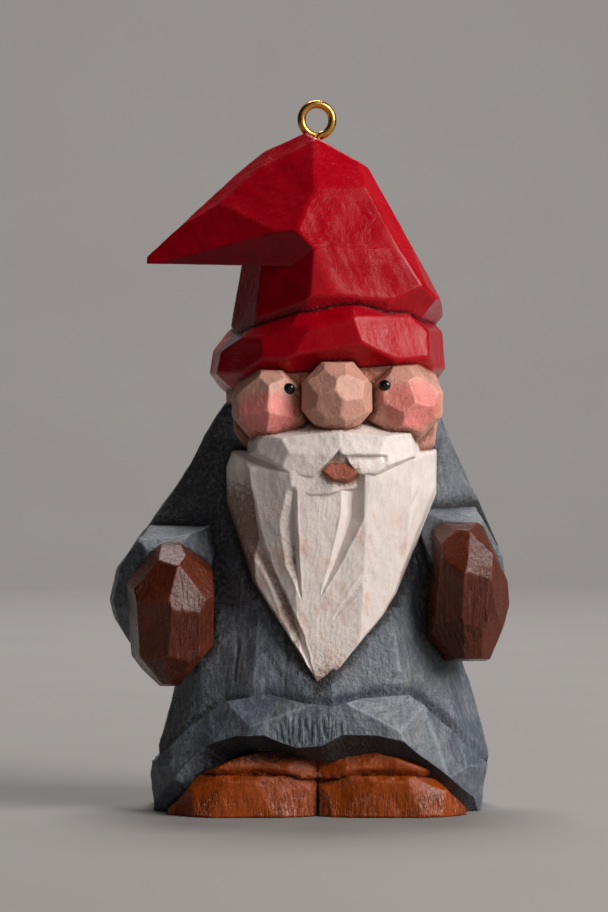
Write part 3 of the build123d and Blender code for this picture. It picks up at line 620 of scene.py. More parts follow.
def painted_wood(name, colour, worn, dirt_and_shade, wear=0.4, drag=0.0, grain=0.0, matt=0.34, blush=None,
                 thick=1.0, seam_dirt_and_shade=0.9, thin=0.0, wood=(0.4, 0.2, 0.1), patchy=1.0,
                 shine=0.38, pull=0.22):
    """Acrylic paint over knife-cut wood. Its colour varies in slow blotches and from facet to facet;
    on the hat the facet mark is painted shade. worn shows along knife edges and, by the share drag,
    in brush marks over the high spots. wood shows through in patches by the share thin, but not where
    the mark rub is; the dirt colour lies in the seams and is painted shade where a piece's shade mark
    deepens them; grain cuts fine upright fibres. thick is how much the brush marks stand up, patchy how
    much the colour varies, and pull how round the brush marks are: 1 is round, less is longer upright. matt
    is the roughness and shine the specular level."""
    paint = Paint(name)
    blotch = paint.noise(0.25, 3.0)
    brush = paint.noise(1.5, 4.0, (1.0, 1.0, pull), 0.6)
    grit = paint.noise(2.3, 4.0, roughness=0.65)
    fibre = paint.noise(4.2, 2.0, (1.0, 1.0, 0.05), 0.6)
    tone = paint.mark("tone")
    rub = paint.mark("rub")
    # On the hat the mark tone is painted shade, darker under the fold.
    shade = 1.0 + ((blotch - 0.5) * 0.8 + (brush - 0.5) * 0.6 + (grit - 0.5) * 0.4) * patchy + tone * 0.07
    body = paint.blend(1.0, colour, paint.grey(shade), "MULTIPLY")
    if thin:
        bare = paint.band(brush * 0.3 + blotch * 0.6 + grit * 0.2, 0.53, 0.7) * (1.0 - rub) * thin
        body = paint.blend(bare, body, wood)
    if blush:
        rosy = paint.band(rub + (paint.noise(0.8, 4.0) - 0.5) * 0.5, 0.35, 0.7) * 0.8
        body = paint.blend(rosy, body, paint.blend(1.0, blush, paint.grey(shade), "MULTIPLY"))
    if drag:
        streak = paint.band(brush * 0.5 + grit * 0.3 + blotch * 0.3 + tone * 0.02, 0.5, 0.78) * drag
        body = paint.blend(streak, body, worn)
    edge = paint.band(paint.mark("edge") * 0.6 + grit * 0.5 + blotch * 0.3, 0.78, 1.1) * wear
    body = paint.blend(edge, body, worn)
    speckle = paint.noise(1.9, 4.0, roughness=0.7)
    # Dark seam paint: dirt, deepened into painted shade where a piece's shade mark is set.
    low = paint.band(paint.mark("seam") * 0.9 + (speckle - 0.5) * 1.3, 0.42, 0.85) * seam_dirt_and_shade
    body = paint.blend(low, body, dirt_and_shade)
    height = grit * 0.1 * thick + brush * 0.14 * thick + paint.noise(6.0, 2.0) * 0.025
    height = height + speckle * paint.mark("seam") * 0.5
    if grain:
        torn = paint.band(fibre, 0.53, 0.4) * paint.band(blotch * 0.7 + rub, 0.4, 0.8) * grain
        body = paint.blend(torn * 0.8, body, tuple(np.array(colour) * 0.14))
        height = height - torn * 0.12
    rough = matt + (grit - 0.5) * 0.35 + (blotch - 0.5) * 0.3
    return paint.finish(body, rough, height, Specular_IOR_Level=shine)


def make_paints(colours):
    """Every finish of the figure, by its record slot."""
    black = tint(22, 17, 15)
    # The third colour of each wood paint lies in its seams: dirt, and painted shade where a piece's shade
    # mark is set.
    painted_wood("hat_red", colours.hat, tint(196, 44, 50), tint(40, 2, 5), wear=0.2, matt=0.2,
                 seam_dirt_and_shade=0.75, patchy=0.45, thick=0.22, shine=0.24, pull=0.8)
    painted_wood("skin", colours.skin, tint(238, 196, 174), colours.wash, wear=0.45, matt=0.42, thin=0.45,
                 wood=tint(172, 106, 82), pull=0.6)
    painted_wood("cheek_pink", colours.skin, tint(240, 196, 178), colours.wash, wear=0.45, matt=0.36,
                 blush=colours.blush, thin=0.4, wood=tint(172, 106, 82), pull=0.6)
    painted_wood("lip_red", colours.lip, tint(190, 118, 98), tint(50, 20, 14), wear=0.3, thin=0.3)
    painted_wood("hair_white", colours.hair, tint(246, 242, 238), tint(138, 92, 66), wear=0.4, matt=0.5,
                 thick=0.5, seam_dirt_and_shade=0.75, thin=0.6, wood=tint(196, 150, 132), patchy=0.45, pull=0.35)
    painted_wood("coat_grey", colours.coat, colours.coat_high, black, wear=0.6, drag=0.7, grain=0.5,
                 matt=0.38, thick=1.1, thin=0.5, wood=tint(104, 84, 68), shine=0.55, pull=0.4,
                 patchy=0.75)
    painted_wood("mitten_brown", colours.mitten, tint(130, 70, 50), black, wear=0.3, grain=0.5, matt=0.27,
                 thick=0.8, shine=0.34)
    painted_wood("boot_brown", colours.boot, tint(178, 92, 48), tint(26, 7, 3), wear=0.35, grain=0.5,
                 matt=0.24, thick=0.8, shine=0.34, patchy=1.3)
    bead = Paint("bead_black")
    speck = bead.noise(1.4, 2.0)
    bead.finish(bead.blend(speck, colours.bead, tint(16, 15, 16)), 0.06 + speck * 0.08, None,
                Specular_IOR_Level=0.45)
    brass = Paint("eye_brass")
    smear = brass.noise(1.2, 3.0)
    brass.finish(brass.blend(smear, colours.brass, tint(168, 112, 44)), 0.16 + smear * 0.22,
                 brass.noise(3.0, 2.0) * 0.012, Metallic=1.0)


def paint_for(slot):
    """The finish of a slot, mixed the first time that it is asked for."""
    if PAINTED + slot not in bpy.data.materials:
        make_paints(bpy.context.scene.tomte_paints)
    return bpy.data.materials[PAINTED + slot]


def place(piece, slot, *nodes):
    """Paints a piece, fixes it to the figure and lets it stand for its CAD nodes."""
    piece.data.materials.append(paint_for(slot))
    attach(piece, BODY)
    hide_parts(*nodes)


def carve(slot, name, *shape, **cuts):
    """Carves a piece, paints it and lets it stand for the CAD node of its name."""
    place(carved(name, *shape, **cuts), slot, name)


# --- operators -----------------------------------------------------------------------------

class TOMTE_OT_hat(bpy.types.Operator):
    """Carves the hat: the turned-over peak, the crown and the brim."""
    bl_idname = "tomte.hat"
    bl_label = "Carve hat"

    def execute(self, context):
        carve("hat_red", "hat_peak", (-16, -1.6, 76.2), (4, -0.5, 80.5), 230, 320, crowd=0.2,
              relief=self.under_fold, trim=self.tucked_in)
        carve("hat_red", "hat_crown", (1.5, -0.5, 66), (1.5, -0.5, 74), 170, 400, ("hat_brim",),
              relief=self.below_join)
        carve("hat_red", "hat_brim", (1.5, -0.7, 59), (1.5, -0.7, 62), 150, 420,
              ("hat_crown", "nose", "head"))
        return {"FINISHED"}

    def under_fold(self, points, normal):
        """Even paint, with painted shade on the facets that face down under the fold."""
        return 0.0, {"tone": -6.5 * np.clip(-6 * normal[:, 2], 0, 1)}

    def tucked_in(self, points):
        """Draws the peak in under the crown's skin below their join, and further in lower down."""
        share = 0.008 + 0.035 * np.clip(73.7 - points[:, 2], 0, 3)
        share *= step(73.7, points[:, 2], 0.06) * step(points[:, 0], -0.8, 0.2)
        points[:, :2] += ((2.5, 0.0) - points[:, :2]) * share[:, None]
        return points

    def below_join(self, points, normal):
        """Sinks the crown under the peak's skin above their join. Its paint is even, with painted shade on
        the figure's right, under the fold."""
        return -0.15 * step(points[:, 2], 74.0, 0.06), {"tone": -4.0 * step(-points[:, 0], 0.8, 0.6)}


class TOMTE_OT_face(bpy.types.Operator):
    """Carves the head, nose and cheeks, and sets the two black eyes in place."""
    bl_idname = "tomte.face"
    bl_label = "Carve face"

    ROSY_MIDDLE = {"left": (12.5, -14.4, 53.3), "right": (-6.2, -14.2, 51.9)}
    ROSY_REACH = (4.1, 4.0, 3.3)
    EYE_SPOT = {"right": (-3.7, 55.4), "left": (8.7, 55.8)}
    EYE_SINK = 0.1
    EYE_SHAPE = (1.04, 0.7, 0.94)

    def execute(self, context):
        carve("skin", "head", (2.4, -0.5, 48), (2.4, -0.5, 55), 90, 300,
              ("cheek_left", "cheek_right", "hat_brim", "beard"), dusty=1.6)
        carve("skin", "nose", (2.5, -13.4, 53.9), (2.5, -13.4, 54.7), 140, 200,
              ("cheek_left", "cheek_right", "hat_brim", "moustache_left", "moustache_right"), dusty=1.1)
        for side, centre in CHEEK_MIDDLE.items():
            half = 0.4 * UP
            carve("cheek_pink", "cheek_" + side, centre - half, centre + half, 140, 200,
                  ("nose", "hat_brim", "moustache_" + side, "head"), relief=self.rosy(side), dusty=1.3)
        for side, spot in self.EYE_SPOT.items():
            self.eye("eye_" + side, spot, BLOCKS["cheek_" + side])
        return {"FINISHED"}

    def rosy(self, side):
        """A relief with rosy paint round the middle of a cheek, thinning outward."""
        def relief(points, normal):
            away = np.linalg.norm((points - self.ROSY_MIDDLE[side]) / self.ROSY_REACH, axis=1)
            return 0.0, {"rub": np.clip(1.25 - 0.75 * away, 0, 1)}
        return relief

    def eye(self, name, spot, cheek, rings=40, columns=60):
        """A bead: a flattened ball, half sunk where it meets the cheek's front."""
        ahead = cheek[cheek[:, 1] < -0.2]
        y = np.max((ahead[:, 3] - ahead[:, 0] * spot[0] - ahead[:, 2] * spot[1]) / ahead[:, 1])
        centre = np.array([spot[0], y + self.EYE_SINK, spot[1]])
        radius = bpy.context.scene.tomte_carving.eye_radius / MM
        foot, ray = ray_grid(centre, centre + 0.001 * UP, rings, columns, 0.0)
        bead = skin_mesh(name, foot + ray * radius * self.EYE_SHAPE, rings, columns, {})
        place(bead, "bead_black", name)


class TOMTE_OT_whiskers(bpy.types.Operator):
    """Carves the moustache, the lip, the chin tuft and the long beard with its gouge cuts."""
    bl_idname = "tomte.whiskers"
    bl_label = "Carve whiskers"

    # Corners of each cut, from the top: x, z, half width.
    GOUGES = (
        ((-10.0, 45.6, 0.6), (-9.3, 41.0, 1.15), (-8.0, 35.4, 1.1), (-5.2, 29.4, 0.6), (-2.2, 24.0, 0.3)),
        ((-8.2, 36.0, 0.2), (-4.8, 28.6, 0.9), (-2.4, 23.0, 0.8), (-0.5, 18.4, 0.2)),
        ((-3.3, 42.0, 0.7), (-3.7, 38.0, 1.15), (-3.2, 33.0, 0.95), (-2.1, 28.4, 0.1)),
        ((4.7, 44.0, 1.5), (4.5, 38.8, 1.45), (2.7, 33.8, 0.85), (0.6, 29.0, 0.1)),
        ((13.2, 42.0, 0.3), (10.6, 37.0, 0.9), (6.6, 31.4, 0.8), (2.2, 25.8, 0.2)),
    )
    GOUGE_DEPTHS = (0.95, 0.7, 0.85, 0.9, 0.4)

    def execute(self, context):
        carve("hair_white", "moustache_right", (-4.6, -13.2, 47.6), (0.8, -13.2, 48.2), 150, 160,
              ("nose", "cheek_right", "lower_lip"), crowd=0.3, relief=self.past_middle)
        carve("hair_white", "moustache_left", (4.4, -13.2, 48.2), (9.4, -13.2, 47.8), 150, 160,
              ("nose", "cheek_left", "lower_lip"), crowd=0.3, relief=self.mouth_cut)
        carve("lip_red", "lower_lip", (2.2, -14.2, 45.2), (4.2, -14.2, 45.2), 70, 90,
              relief=self.shade_under_moustache)
        carve("hair_white", "chin_tuft", (-2.6, -13.6, 43.2), (2.6, -13.6, 43.2), 90, 120,
              ("moustache_right", "lower_lip"))
        carve("hair_white", "beard", (0.6, -13.0, 24), (2.0, -8.0, 40), 220, 420,
              ("lower_lip", "coat_body"), crowd=0.6, relief=self.gouged)
        return {"FINISHED"}

    def shade_under_moustache(self, points, normal):
        """Painted shade, brown, where the lip runs up under the moustache."""
        return 0.0, {"shade": step(points[:, 2], 45.9, 0.2)}

    def mouth_cut(self, points, normal):
        """A flat cut beside the mouth that slopes in towards its top edge and ends there in a wall. The
        inner end sinks where the other half lies over it."""
        x, z = points[:, 0], points[:, 2] + 0.06 * waves(points, 1.6, 45)
        slope = np.clip((z - 45.0) / 1.7, 0, 1) * step(46.75, z, 0.04)
        height = -0.6 * slope * step(x, 2.2, 0.1) * step(9.0, x, 0.08) - 0.8 * step(2.5, x, 0.12)
        return height + self.strokes_of_paint(points), {"rub": np.ones(len(points))}

    def past_middle(self, points, normal):
        """Sinks this half where the other half lies over it."""
        return (-0.8 * step(points[:, 0], 3.4, 0.12) + self.strokes_of_paint(points),
                {"rub": np.ones(len(points))})

    def strokes_of_paint(self, points):
        """Thick paint: two sizes of slow waves."""
        return 0.025 * waves(points, 1.5, 43) + 0.015 * waves(points * (0.5, 1, 1), 0.7, 44)

    def gouged(self, points, normal):
        """V-shaped cuts, as deep as their share of the distance in from the rim, each with a burr that
        fades outward as exp(-(distance / 0.25)^2)."""
        depth = bpy.context.scene.tomte_carving.gouge_depth
        front = np.clip(-normal[:, 1] * 2.5, 0, 1)
        height, low = np.zeros(len(points)), np.zeros(len(points))
        for count, (path, share) in enumerate(zip(self.GOUGES, self.GOUGE_DEPTHS)):
            deep, beyond = in_gouge(points, path, 0.07 * waves(points, 2.4, 30 + count))
            height -= depth * share * deep
            height += 0.04 * np.exp(-(beyond / 0.25) ** 2) * (deep <= 0)
            low = np.maximum(low, np.clip(deep, 0, 1))
        hair = 0.025 * waves(points * (1, 1, 0.4), 1.3, 36) + 0.012 * waves(points * (1, 1, 0.6), 0.6, 37)
        # Painted shade: brown on facets that turn to the figure's right, below the moustache, and in the
        # bottoms of the cuts low on the beard.
        left = np.clip(-1.5 * normal[:, 0] - 0.35, 0, 1) * step(44.0, points[:, 2], 1.0)
        shade = left + 0.7 * low * step(34.0, points[:, 2], 2.5)
        return height * front + hair, {"rub": step(points[:, 2], 39.0, 1.2), "shade": np.minimum(shade, 1)}


class TOMTE_OT_coat(bpy.types.Operator):
    """Carves the coat: shoulders, body and the band of the hem."""
    bl_idname = "tomte.coat"
    bl_label = "Carve coat"

    # Lines of the hem over the front, as corners (x, z): its top, its lower edge, and the arch that
    # its underside makes over the boots.
    HEM_TOP = ((-23, 5.4), (-21, 7.0), (-16.7, 11.6), (-12.4, 14.8), (-6.9, 15.8), (-2, 14.7), (1.7, 14.4),
               (6, 15.4), (12.5, 15.7), (14, 14.6), (17, 11.6), (21.7, 7.0), (23, 5.6))
    HEM_EDGE = ((-21.6, 0.0), (-21.0, 1.8), (-17.4, 6.6), (-14.6, 9.1), (-10.6, 10.5), (-6.9, 10.7),
                (-4.8, 9.8), (-2.6, 9.1), (0.5, 9.4), (3.4, 10.8), (7.5, 10.7), (11.2, 9.9), (12.7, 8.6),
                (16.4, 5.8), (20.4, 2.0), (21.2, 0.0))
    ARCH = ((-20.0, 0.0), (-19.6, 1.4), (-16.6, 4.6), (-13.5, 7.2), (-10.4, 8.3), (-5.7, 8.4), (-0.4, 7.2),
            (1.9, 6.9), (4.9, 7.6), (8.3, 7.7), (11.3, 7.0), (13.6, 5.9), (16.5, 4.0), (19.4, 0.7),
            (19.9, 0.0))

    # Corners of each crack, from the top: x, z, half width.
    CRACKS = (
        ((-10.6, 24.5, 0.1), (-10.5, 21, 0.32), (-10.9, 17.4, 0.1)),
        ((-4.1, 23.2, 0.05), (-3.9, 20.5, 0.2), (-4.3, 16.4, 0.1)),
        ((9.0, 18.4, 0.1), (10.6, 18.0, 0.22), (12.0, 18.2, 0.05)),
        ((-7.8, 22.6, 0.05), (-5.4, 19.4, 0.16), (-4.2, 17.2, 0.05)),
    )

    AROUND = ("beard", "sleeve_left", "sleeve_right", "mitten_left", "mitten_right")
    GROOVE = 0.75  # depth and width of the groove over the hem
    # The hem's rows of points: out along the base, up the under-bevel and up the band. Then shares of
    # the way back in from the band's crest.
    BASE_ROWS, BEVEL_ROWS, BAND_ROWS = 14, 22, 84
    CREST_SHARES = (0.015, 0.03, 0.06, 0.1, 0.2, 0.4, 0.7, 0.95)

    def execute(self, context):
        # The wide reach spreads black seam paint over the coat round the beard, sleeves and mittens: partly
        # dirt, partly painted shade.
        carve("coat_grey", "coat_yoke", (0, 1.0, 34), (1.0, 1.0, 46), 130, 360, self.AROUND,
              relief=whittled(6.0, 0.34, 65, 0.85, 9.0), dusty=2.0)
        carve("coat_grey", "coat_body", (0, 0.5, 12), (0.5, 0.5, 36), 200, 420, self.AROUND,
              relief=self.above_hem, trim=self.off_the_boots, dusty=2.0)
        place(self.hem(), "coat_grey", "coat_hem")
        return {"FINISHED"}

    def above_hem(self, points, normal):
        """Cuts the coat in just over the hem, by exp(-(height over the hem / groove)^2), splits it along
        a few cracks, and darkens it with painted shade on the figure's right."""
        over = points[:, 2] - height_at(self.HEM_TOP, points[:, 0]) + 0.12 * waves(points, 2.2, 61)
        groove = np.exp(-(np.maximum(over, 0) / self.GROOVE) ** 2)
        height = -self.GROOVE * groove
        for path in self.CRACKS:
            deep, beyond = in_gouge(points, path, 0.1 * waves(points, 1.5, 62))
            height -= 1.2 * deep * (points[:, 1] < 0)
            groove = np.maximum(groove, (deep > 0) * (points[:, 1] < 0))
        height += 0.03 * waves(points * (1, 1, 0.5), 1.6, 63) + scoops(points, 6.0, 0.4, 64)
        return height, {"rub": groove, "shade": 0.65 * step(-points[:, 0], 11.0, 2.0)}

    def off_the_boots(self, points):
        """Lifts the coat's underside to follow the hem's top line, and draws it in as it lifts."""
        raised = np.clip(height_at(self.HEM_TOP, points[:, 0]) - 1.4 - points[:, 2], 0, None)
        points[:, :2] *= np.clip(1 - 0.05 * raised, 0.4, 1)[:, None]
        points[:, 2] += raised
        return points

    def hem(self):
        """A profile carried round the figure. In each direction it runs from the middle of the base out
        to the foot of the under-bevel, out and up to the lower edge, up the band's facets to the top
        line and back in to the middle. Over the boots the base lifts to the arch."""
        sizes = bpy.context.scene.tomte_carving
        planes = BLOCKS["coat_hem"]
        columns = 520
        even = 2 * np.pi * np.arange(columns) / columns
        turn = even - 0.35 * np.sin(even)
        way = np.column_stack([np.sin(turn), -np.cos(turn), np.zeros(columns)])
        axis = np.array([0.4, -1.0, 0.0])
        ahead = np.clip(np.cos(turn) * 3.0, 0, 1)

        def skin(z):
            """Points on the facets at heights z, one for each direction."""
            return meet(planes, axis + z[:, None] * UP, way, sizes.rounding / MM)[0]

        # A line's height depends on x and the skin's x on the height, so each is found in two steps.
        top = height_at(self.HEM_TOP, skin(np.full(columns, 9.0))[:, 0])
        top = height_at(self.HEM_TOP, skin(top)[:, 0])
        edge = height_at(self.HEM_EDGE, skin(np.full(columns, 4.0))[:, 0]) * ahead
        edge = height_at(self.HEM_EDGE, skin(edge)[:, 0]) * ahead
        lip = skin(edge)
        arch = np.minimum(height_at(self.ARCH, lip[:, 0] * 0.97) * ahead, edge)
        out = np.linalg.norm((lip - axis)[:, :2], axis=1)
        bevel = 0.25 + 2.9 * np.clip(edge / 6, 0, 1)
        rows = [axis + way * (share * (out - bevel))[:, None] + arch[:, None] * min(1, share * 4) * UP
                for share in np.linspace(0.04, 1, self.BASE_ROWS)]
        inner = rows[-1]
        rows += [inner + (lip - inner) * share for share in np.linspace(0.05, 1, self.BEVEL_ROWS)]
        rows += [skin(edge + (top - edge) * share) for share in np.linspace(0.012, 1, self.BAND_ROWS)]
        crest = rows[-1]
        back = axis + (top + 0.15)[:, None] * UP
        rows += [crest + (back - crest) * share for share in self.CREST_SHARES]
        points = np.vstack(rows)
        gap, marks = facet_marks(planes, points, ("boot_foot_left", "boot_foot_right",
                                                  "boot_shaft_left", "boot_shaft_right"))
        outward = points - axis
        outward[:, 2] = 0
        outward /= np.linalg.norm(outward, axis=1)[:, None]
        height = knife_marks(gap, waves(points, 3.2, 21))
        level = np.repeat(np.arange(len(rows)) - self.BASE_ROWS, columns)
        under = (level >= 0) & (level < self.BEVEL_ROWS)
        torn = np.exp(-((points[:, 0] + 1.0) / 5.0) ** 4) * (points[:, 1] < -8) * ~under
        torn = torn * np.clip((points[:, 2] - 8.6) / 0.6, 0, 1) * np.clip((13.6 - points[:, 2]) / 1.8, 0, 1)
        fibres = waves(points * (1, 1, 0.08), 0.55, 22) + 0.5 * waves(points * (1, 1, 0.1), 0.3, 23)
        height -= 0.13 * torn * np.clip(fibres, -0.6, 1)
        height += 0.03 * waves(points * (1, 1, 0.5), 1.6, 24) + scoops(points, 5.0, 0.5, 25, 1.0) * ~under
        marks["rub"] = 0.8 * torn
        # Painted shade: the under-bevel is dark, less so at its end on the figure's right, and the hem's
        # end on the figure's right is darkened.
        shaded = step(points[:, 0], -15.0, 0.8)
        marks["seam"] = np.maximum(marks["seam"], under * (0.35 + 0.65 * shaded))
        marks["seam"] = np.maximum(marks["seam"], 0.5 * step(-points[:, 0], 13.0, 1.5))
        points = points + outward * height[:, None]
        points[:, 2] = np.maximum(points[:, 2], 0.0)
        closed = np.vstack([axis, points, axis + (0, 0, float(top.mean()))])
        marks = {mark: np.concatenate([[0.0], values, [0.0]]) for mark, values in marks.items()}
        return skin_mesh("coat_hem", closed, len(rows), columns, marks)


class TOMTE_OT_arms(bpy.types.Operator):
    """Carves the two sleeves and the mittens that come out of them."""
    bl_idname = "tomte.arms"
    bl_label = "Carve arms"

    def execute(self, context):
        for name, low, high in (("sleeve_right", (-19.5, -2, 27), (-19.0, -2, 33)),
                                ("sleeve_left", (19.4, -1, 29), (18.8, -1, 35))):
            side = name.split("_")[1]
            carve("coat_grey", name, low, high, 130, 240, ("mitten_" + side, "coat_body", "coat_yoke"),
                  relief=whittled(4.5, 0.24, 66, 0.7, 20.0))
        for name, low, high in (("mitten_right", (-18.7, -11.4, 22), (-18.7, -11.2, 29.6)),
                                ("mitten_left", (19.6, -9.6, 24.6), (19.4, -9.4, 33))):
            side = name.split("_")[1]
            carve("mitten_brown", name, low, high, 170, 230, ("sleeve_" + side, "coat_body"),
                  relief=self.grain)
        return {"FINISHED"}

    def grain(self, points, normal):
        """Upright fibres torn out of the facets low on the front."""
        low = points[:, 2].min()
        share = (points[:, 2] - low) / np.ptp(points[:, 2])
        torn = np.exp(-((share - 0.32) / 0.3) ** 2) * facing_front(normal)
        torn *= np.clip(0.6 + waves(points, 7.0, 41), 0, 1)
        fibres = waves(points * (1, 1, 0.1), 0.7, 42)
        return -0.12 * torn * np.clip(fibres, -0.2, 1), {"rub": torn}


class TOMTE_OT_boots(bpy.types.Operator):
    """Carves the boots, each with a rough groove between foot and shaft."""
    bl_idname = "tomte.boots"
    bl_label = "Carve boots"

    def execute(self, context):
        for side, other, way in (("left", "right", 1), ("right", "left", -1)):
            foot, shaft = "boot_foot_" + side, "boot_shaft_" + side
            carve("boot_brown", foot, (way * 3.4, -8.5, 2.5), (way * 14.6, -8.5, 2.3), 190, 150,
                  (shaft, "boot_foot_" + other), crowd=0.4, relief=self.grain, trim=self.on_the_ground)
            carve("boot_brown", shaft, (way * 3.2, -8.5, 6.4), (way * 10.4, -8.5, 6.2), 150, 120,
                  (foot, "boot_shaft_" + other), crowd=0.4, relief=self.grain)
        return {"FINISHED"}

    def on_the_ground(self, points):
        """Flattens the sole where a scoop would push it under the ground."""
        points[:, 2] = np.maximum(points[:, 2], 0.0)
        return points

    def grain(self, points, normal):
        """Upright fibres low on the front, a ragged edge along the groove, scoops, and a shade over the
        top of the shaft, darker on the figure's right."""
        front = facing_front(normal)
        low = np.clip((3.6 - points[:, 2]) / 1.6, 0, 1)
        torn = front * low * np.clip(0.7 + waves(points, 6.0, 51), 0, 1)
        fibres = waves(points * (1, 1, 0.12), 0.6, 52)
        ragged = front * np.exp(-((points[:, 2] - 5.2) / 0.5) ** 2) * waves(points, 1.0, 53)
        shade = step(points[:, 2], 6.8, 0.35) * (0.55 + 0.4 * (points[:, 0] < 0))
        height = -0.14 * torn * np.clip(fibres, -0.2, 1) + 0.14 * ragged + scoops(points, 4.0, 0.26, 54)
        return height, {"rub": torn, "shade": shade}


class TOMTE_OT_screw_eye(bpy.types.Operator):
    """Bends the brass screw eye: a threaded shank that runs up into an almost closed ring."""
    bl_idname = "tomte.screw_eye"
    bl_label = "Bend screw eye"

    SHANK_POINTS, RING_POINTS = 120, 110
    RIDGE_HEIGHT, RIDGE_SPACING = 0.1, 0.6
    RING_TURN, WIRE_START, WIRE_END = 12.0, -78, 262
    POINT_LENGTH, TIP_SHARE = 1.6, 0.08

    def execute(self, context):
        sizes = context.scene.tomte_carving
        wire, ring = sizes.wire_radius / MM, sizes.ring_radius / MM
        low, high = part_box("screw_eye")
        middle = (np.array(low) + np.array(high)) / 2 / MM
        centre = np.array([middle[0], middle[1], high[2] / MM - ring - wire])
        foot, neck = low[2] / MM, centre[2] - ring
        sweep = np.radians(np.linspace(self.WIRE_START, self.WIRE_END, self.RING_POINTS))[:, None]
        bent = centre + ring * (np.cos(sweep) * facing(90 + self.RING_TURN, 0) + np.sin(sweep) * UP)
        rise = np.linspace(foot, neck - 0.5, self.SHANK_POINTS)
        shank = np.column_stack([np.full(self.SHANK_POINTS, centre[0]),
                                 np.full(self.SHANK_POINTS, centre[1]), rise])
        ridge = self.RIDGE_HEIGHT * np.sin((rise - foot) / self.RIDGE_SPACING * 2 * np.pi)
        thread = ridge * np.clip((neck - 2.0 - rise) / 0.4, 0, 1)
        cone = np.clip((rise - foot) / self.POINT_LENGTH, self.TIP_SHARE, 1)
        radius = np.concatenate([(wire + thread) * cone, np.full(self.RING_POINTS, wire)])
        place(tube_mesh("screw_eye", np.vstack([shank, bent]), radius), "eye_brass", "screw_eye")
        return {"FINISHED"}


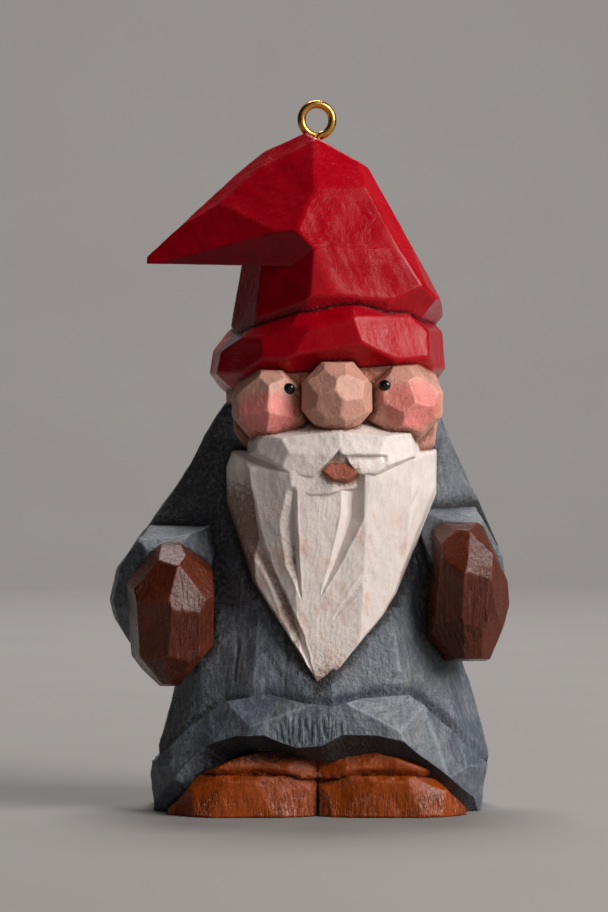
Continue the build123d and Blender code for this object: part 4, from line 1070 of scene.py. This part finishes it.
class TOMTE_OT_stage(bpy.types.Operator):
    """Lays the pale floor, hangs the lights and sets the camera in front of the figure."""
    bl_idname = "tomte.stage"
    bl_label = "Set stage"

    AIM = (0.0, 0.0, 0.052)  # the point on the figure that the lights look at, in metres
    CAMERA_ASIDE = -1.73 * MM
    CAMERA_HEIGHT = 0.496  # as a share of the figure's height
    CARD_START, CARD_REACH, CARD_BEND, CARD_TALL, CARD_WIDE = -1.2, 1.2, 0.35, 1.4, 2.4
    BEND_ROWS, CARD_COLUMNS = 40, 12

    def execute(self, context):
        stage = context.scene.tomte_stage
        self.floor(context)
        self.light("key_light", self.AIM, facing(56, 28) * 0.62, 0.36, stage.key_power, (1.0, 0.965, 0.92))
        self.light("fill_light", self.AIM, facing(6, 14) * 0.9, 0.4, stage.fill_power, (1.0, 0.95, 0.9))
        self.light("backdrop_light", (0, 0.75, 0.2), np.array([0.0, -0.3, 0.7]), 0.5,
                   stage.backdrop_power, (1.0, 0.98, 0.96))
        world = bpy.data.worlds.new("room")
        world.use_nodes = True
        sky = world.node_tree.nodes["Background"].inputs
        sky["Color"].default_value = (0.9, 0.93, 1.0, 1)
        sky["Strength"].default_value = stage.sky
        context.scene.world = world
        context.scene.view_settings.view_transform = "Standard"
        camera = bpy.data.objects.new("camera", bpy.data.cameras.new("camera"))
        camera.data.lens = stage.lens
        camera.data.clip_start = 0.01
        low, high = CAD_BOX[0][2], CAD_BOX[1][2]
        height = low + self.CAMERA_HEIGHT * (high - low)
        camera.location = (self.CAMERA_ASIDE, -stage.camera_distance, height)
        camera.rotation_euler = (np.radians(90), 0, 0)
        context.scene.collection.objects.link(camera)
        context.scene.camera = camera
        return {"FINISHED"}

    def light(self, name, target, away, size, power, colour):
        """A square soft light that looks at a point from the way off that away gives."""
        lamp = bpy.data.lights.new(name, "AREA")
        lamp.shape, lamp.size, lamp.energy, lamp.color = "SQUARE", size, power, colour
        holder = bpy.data.objects.new(name, lamp)
        holder.location = np.array(target) + away
        holder.rotation_euler = Vector(tuple(-away)).to_track_quat("-Z", "Y").to_euler()
        bpy.context.scene.collection.objects.link(holder)

    def floor(self, context):
        """A sheet that lies flat, bends up through a quarter circle and hangs as the backdrop: the
        profile runs back along Y and is carried straight across along X."""
        angle = np.linspace(0, np.pi / 2, self.BEND_ROWS)
        back = self.CARD_REACH + self.CARD_BEND * (np.sin(angle) - 1)
        up = self.CARD_BEND * (1 - np.cos(angle))
        profile = np.vstack([[(self.CARD_START, 0.0)], np.column_stack([back, up]),
                             [(self.CARD_REACH, self.CARD_TALL)]])
        columns = self.CARD_COLUMNS
        across = np.linspace(-self.CARD_WIDE / 2, self.CARD_WIDE / 2, columns)
        points = np.column_stack([np.tile(across, len(profile)), np.repeat(profile, columns, 0)])
        row, column = np.meshgrid(np.arange(len(profile) - 1), np.arange(columns - 1), indexing="ij")
        first = (row * columns + column).ravel()
        faces = np.column_stack([first, first + 1, first + columns + 1, first + columns])
        mesh = bpy.data.meshes.new("floor")
        mesh.from_pydata(points.tolist(), [], faces.tolist())
        mesh.shade_smooth()
        floor = bpy.data.objects.new("floor", mesh)
        context.scene.collection.objects.link(floor)
        paint = Paint("stage_card")
        soft = paint.noise(0.02, 2.0)
        colour = paint.blend(soft, context.scene.tomte_paints.stage, tint(146, 144, 142))
        mesh.materials.append(paint.finish(colour, 0.8, None))


class TOMTE_PT_panel(bpy.types.Panel):
    bl_idname = "TOMTE_PT_panel"
    bl_label = "Tomte"
    bl_space_type = "VIEW_3D"
    bl_region_type = "UI"
    bl_category = "Tomte"

    def draw(self, context):
        for operator in OPERATORS:
            self.layout.operator(operator.bl_idname)
        for group in ("tomte_carving", "tomte_paints", "tomte_stage"):
            box = self.layout.box()
            values = getattr(context.scene, group)
            for key in values.__annotations__:
                box.prop(values, key)


OPERATORS = (TOMTE_OT_screw_eye, TOMTE_OT_hat, TOMTE_OT_face, TOMTE_OT_whiskers, TOMTE_OT_coat,
             TOMTE_OT_arms, TOMTE_OT_boots, TOMTE_OT_stage)
CLASSES = (TomteCarving, TomtePaints, TomteStage, *OPERATORS, TOMTE_PT_panel)


def register():
    for cls in CLASSES:
        bpy.utils.register_class(cls)
    bpy.types.Scene.tomte_carving = PointerProperty(type=TomteCarving)
    bpy.types.Scene.tomte_paints = PointerProperty(type=TomtePaints)
    bpy.types.Scene.tomte_stage = PointerProperty(type=TomteStage)


def unregister():
    del bpy.types.Scene.tomte_carving, bpy.types.Scene.tomte_paints, bpy.types.Scene.tomte_stage
    for cls in reversed(CLASSES):
        bpy.utils.unregister_class(cls)


def main():
    register()
    for operator in OPERATORS:
        group, name = operator.bl_idname.split(".")
        getattr(getattr(bpy.ops, group), name)()


if __name__ == "__main__":
    main()
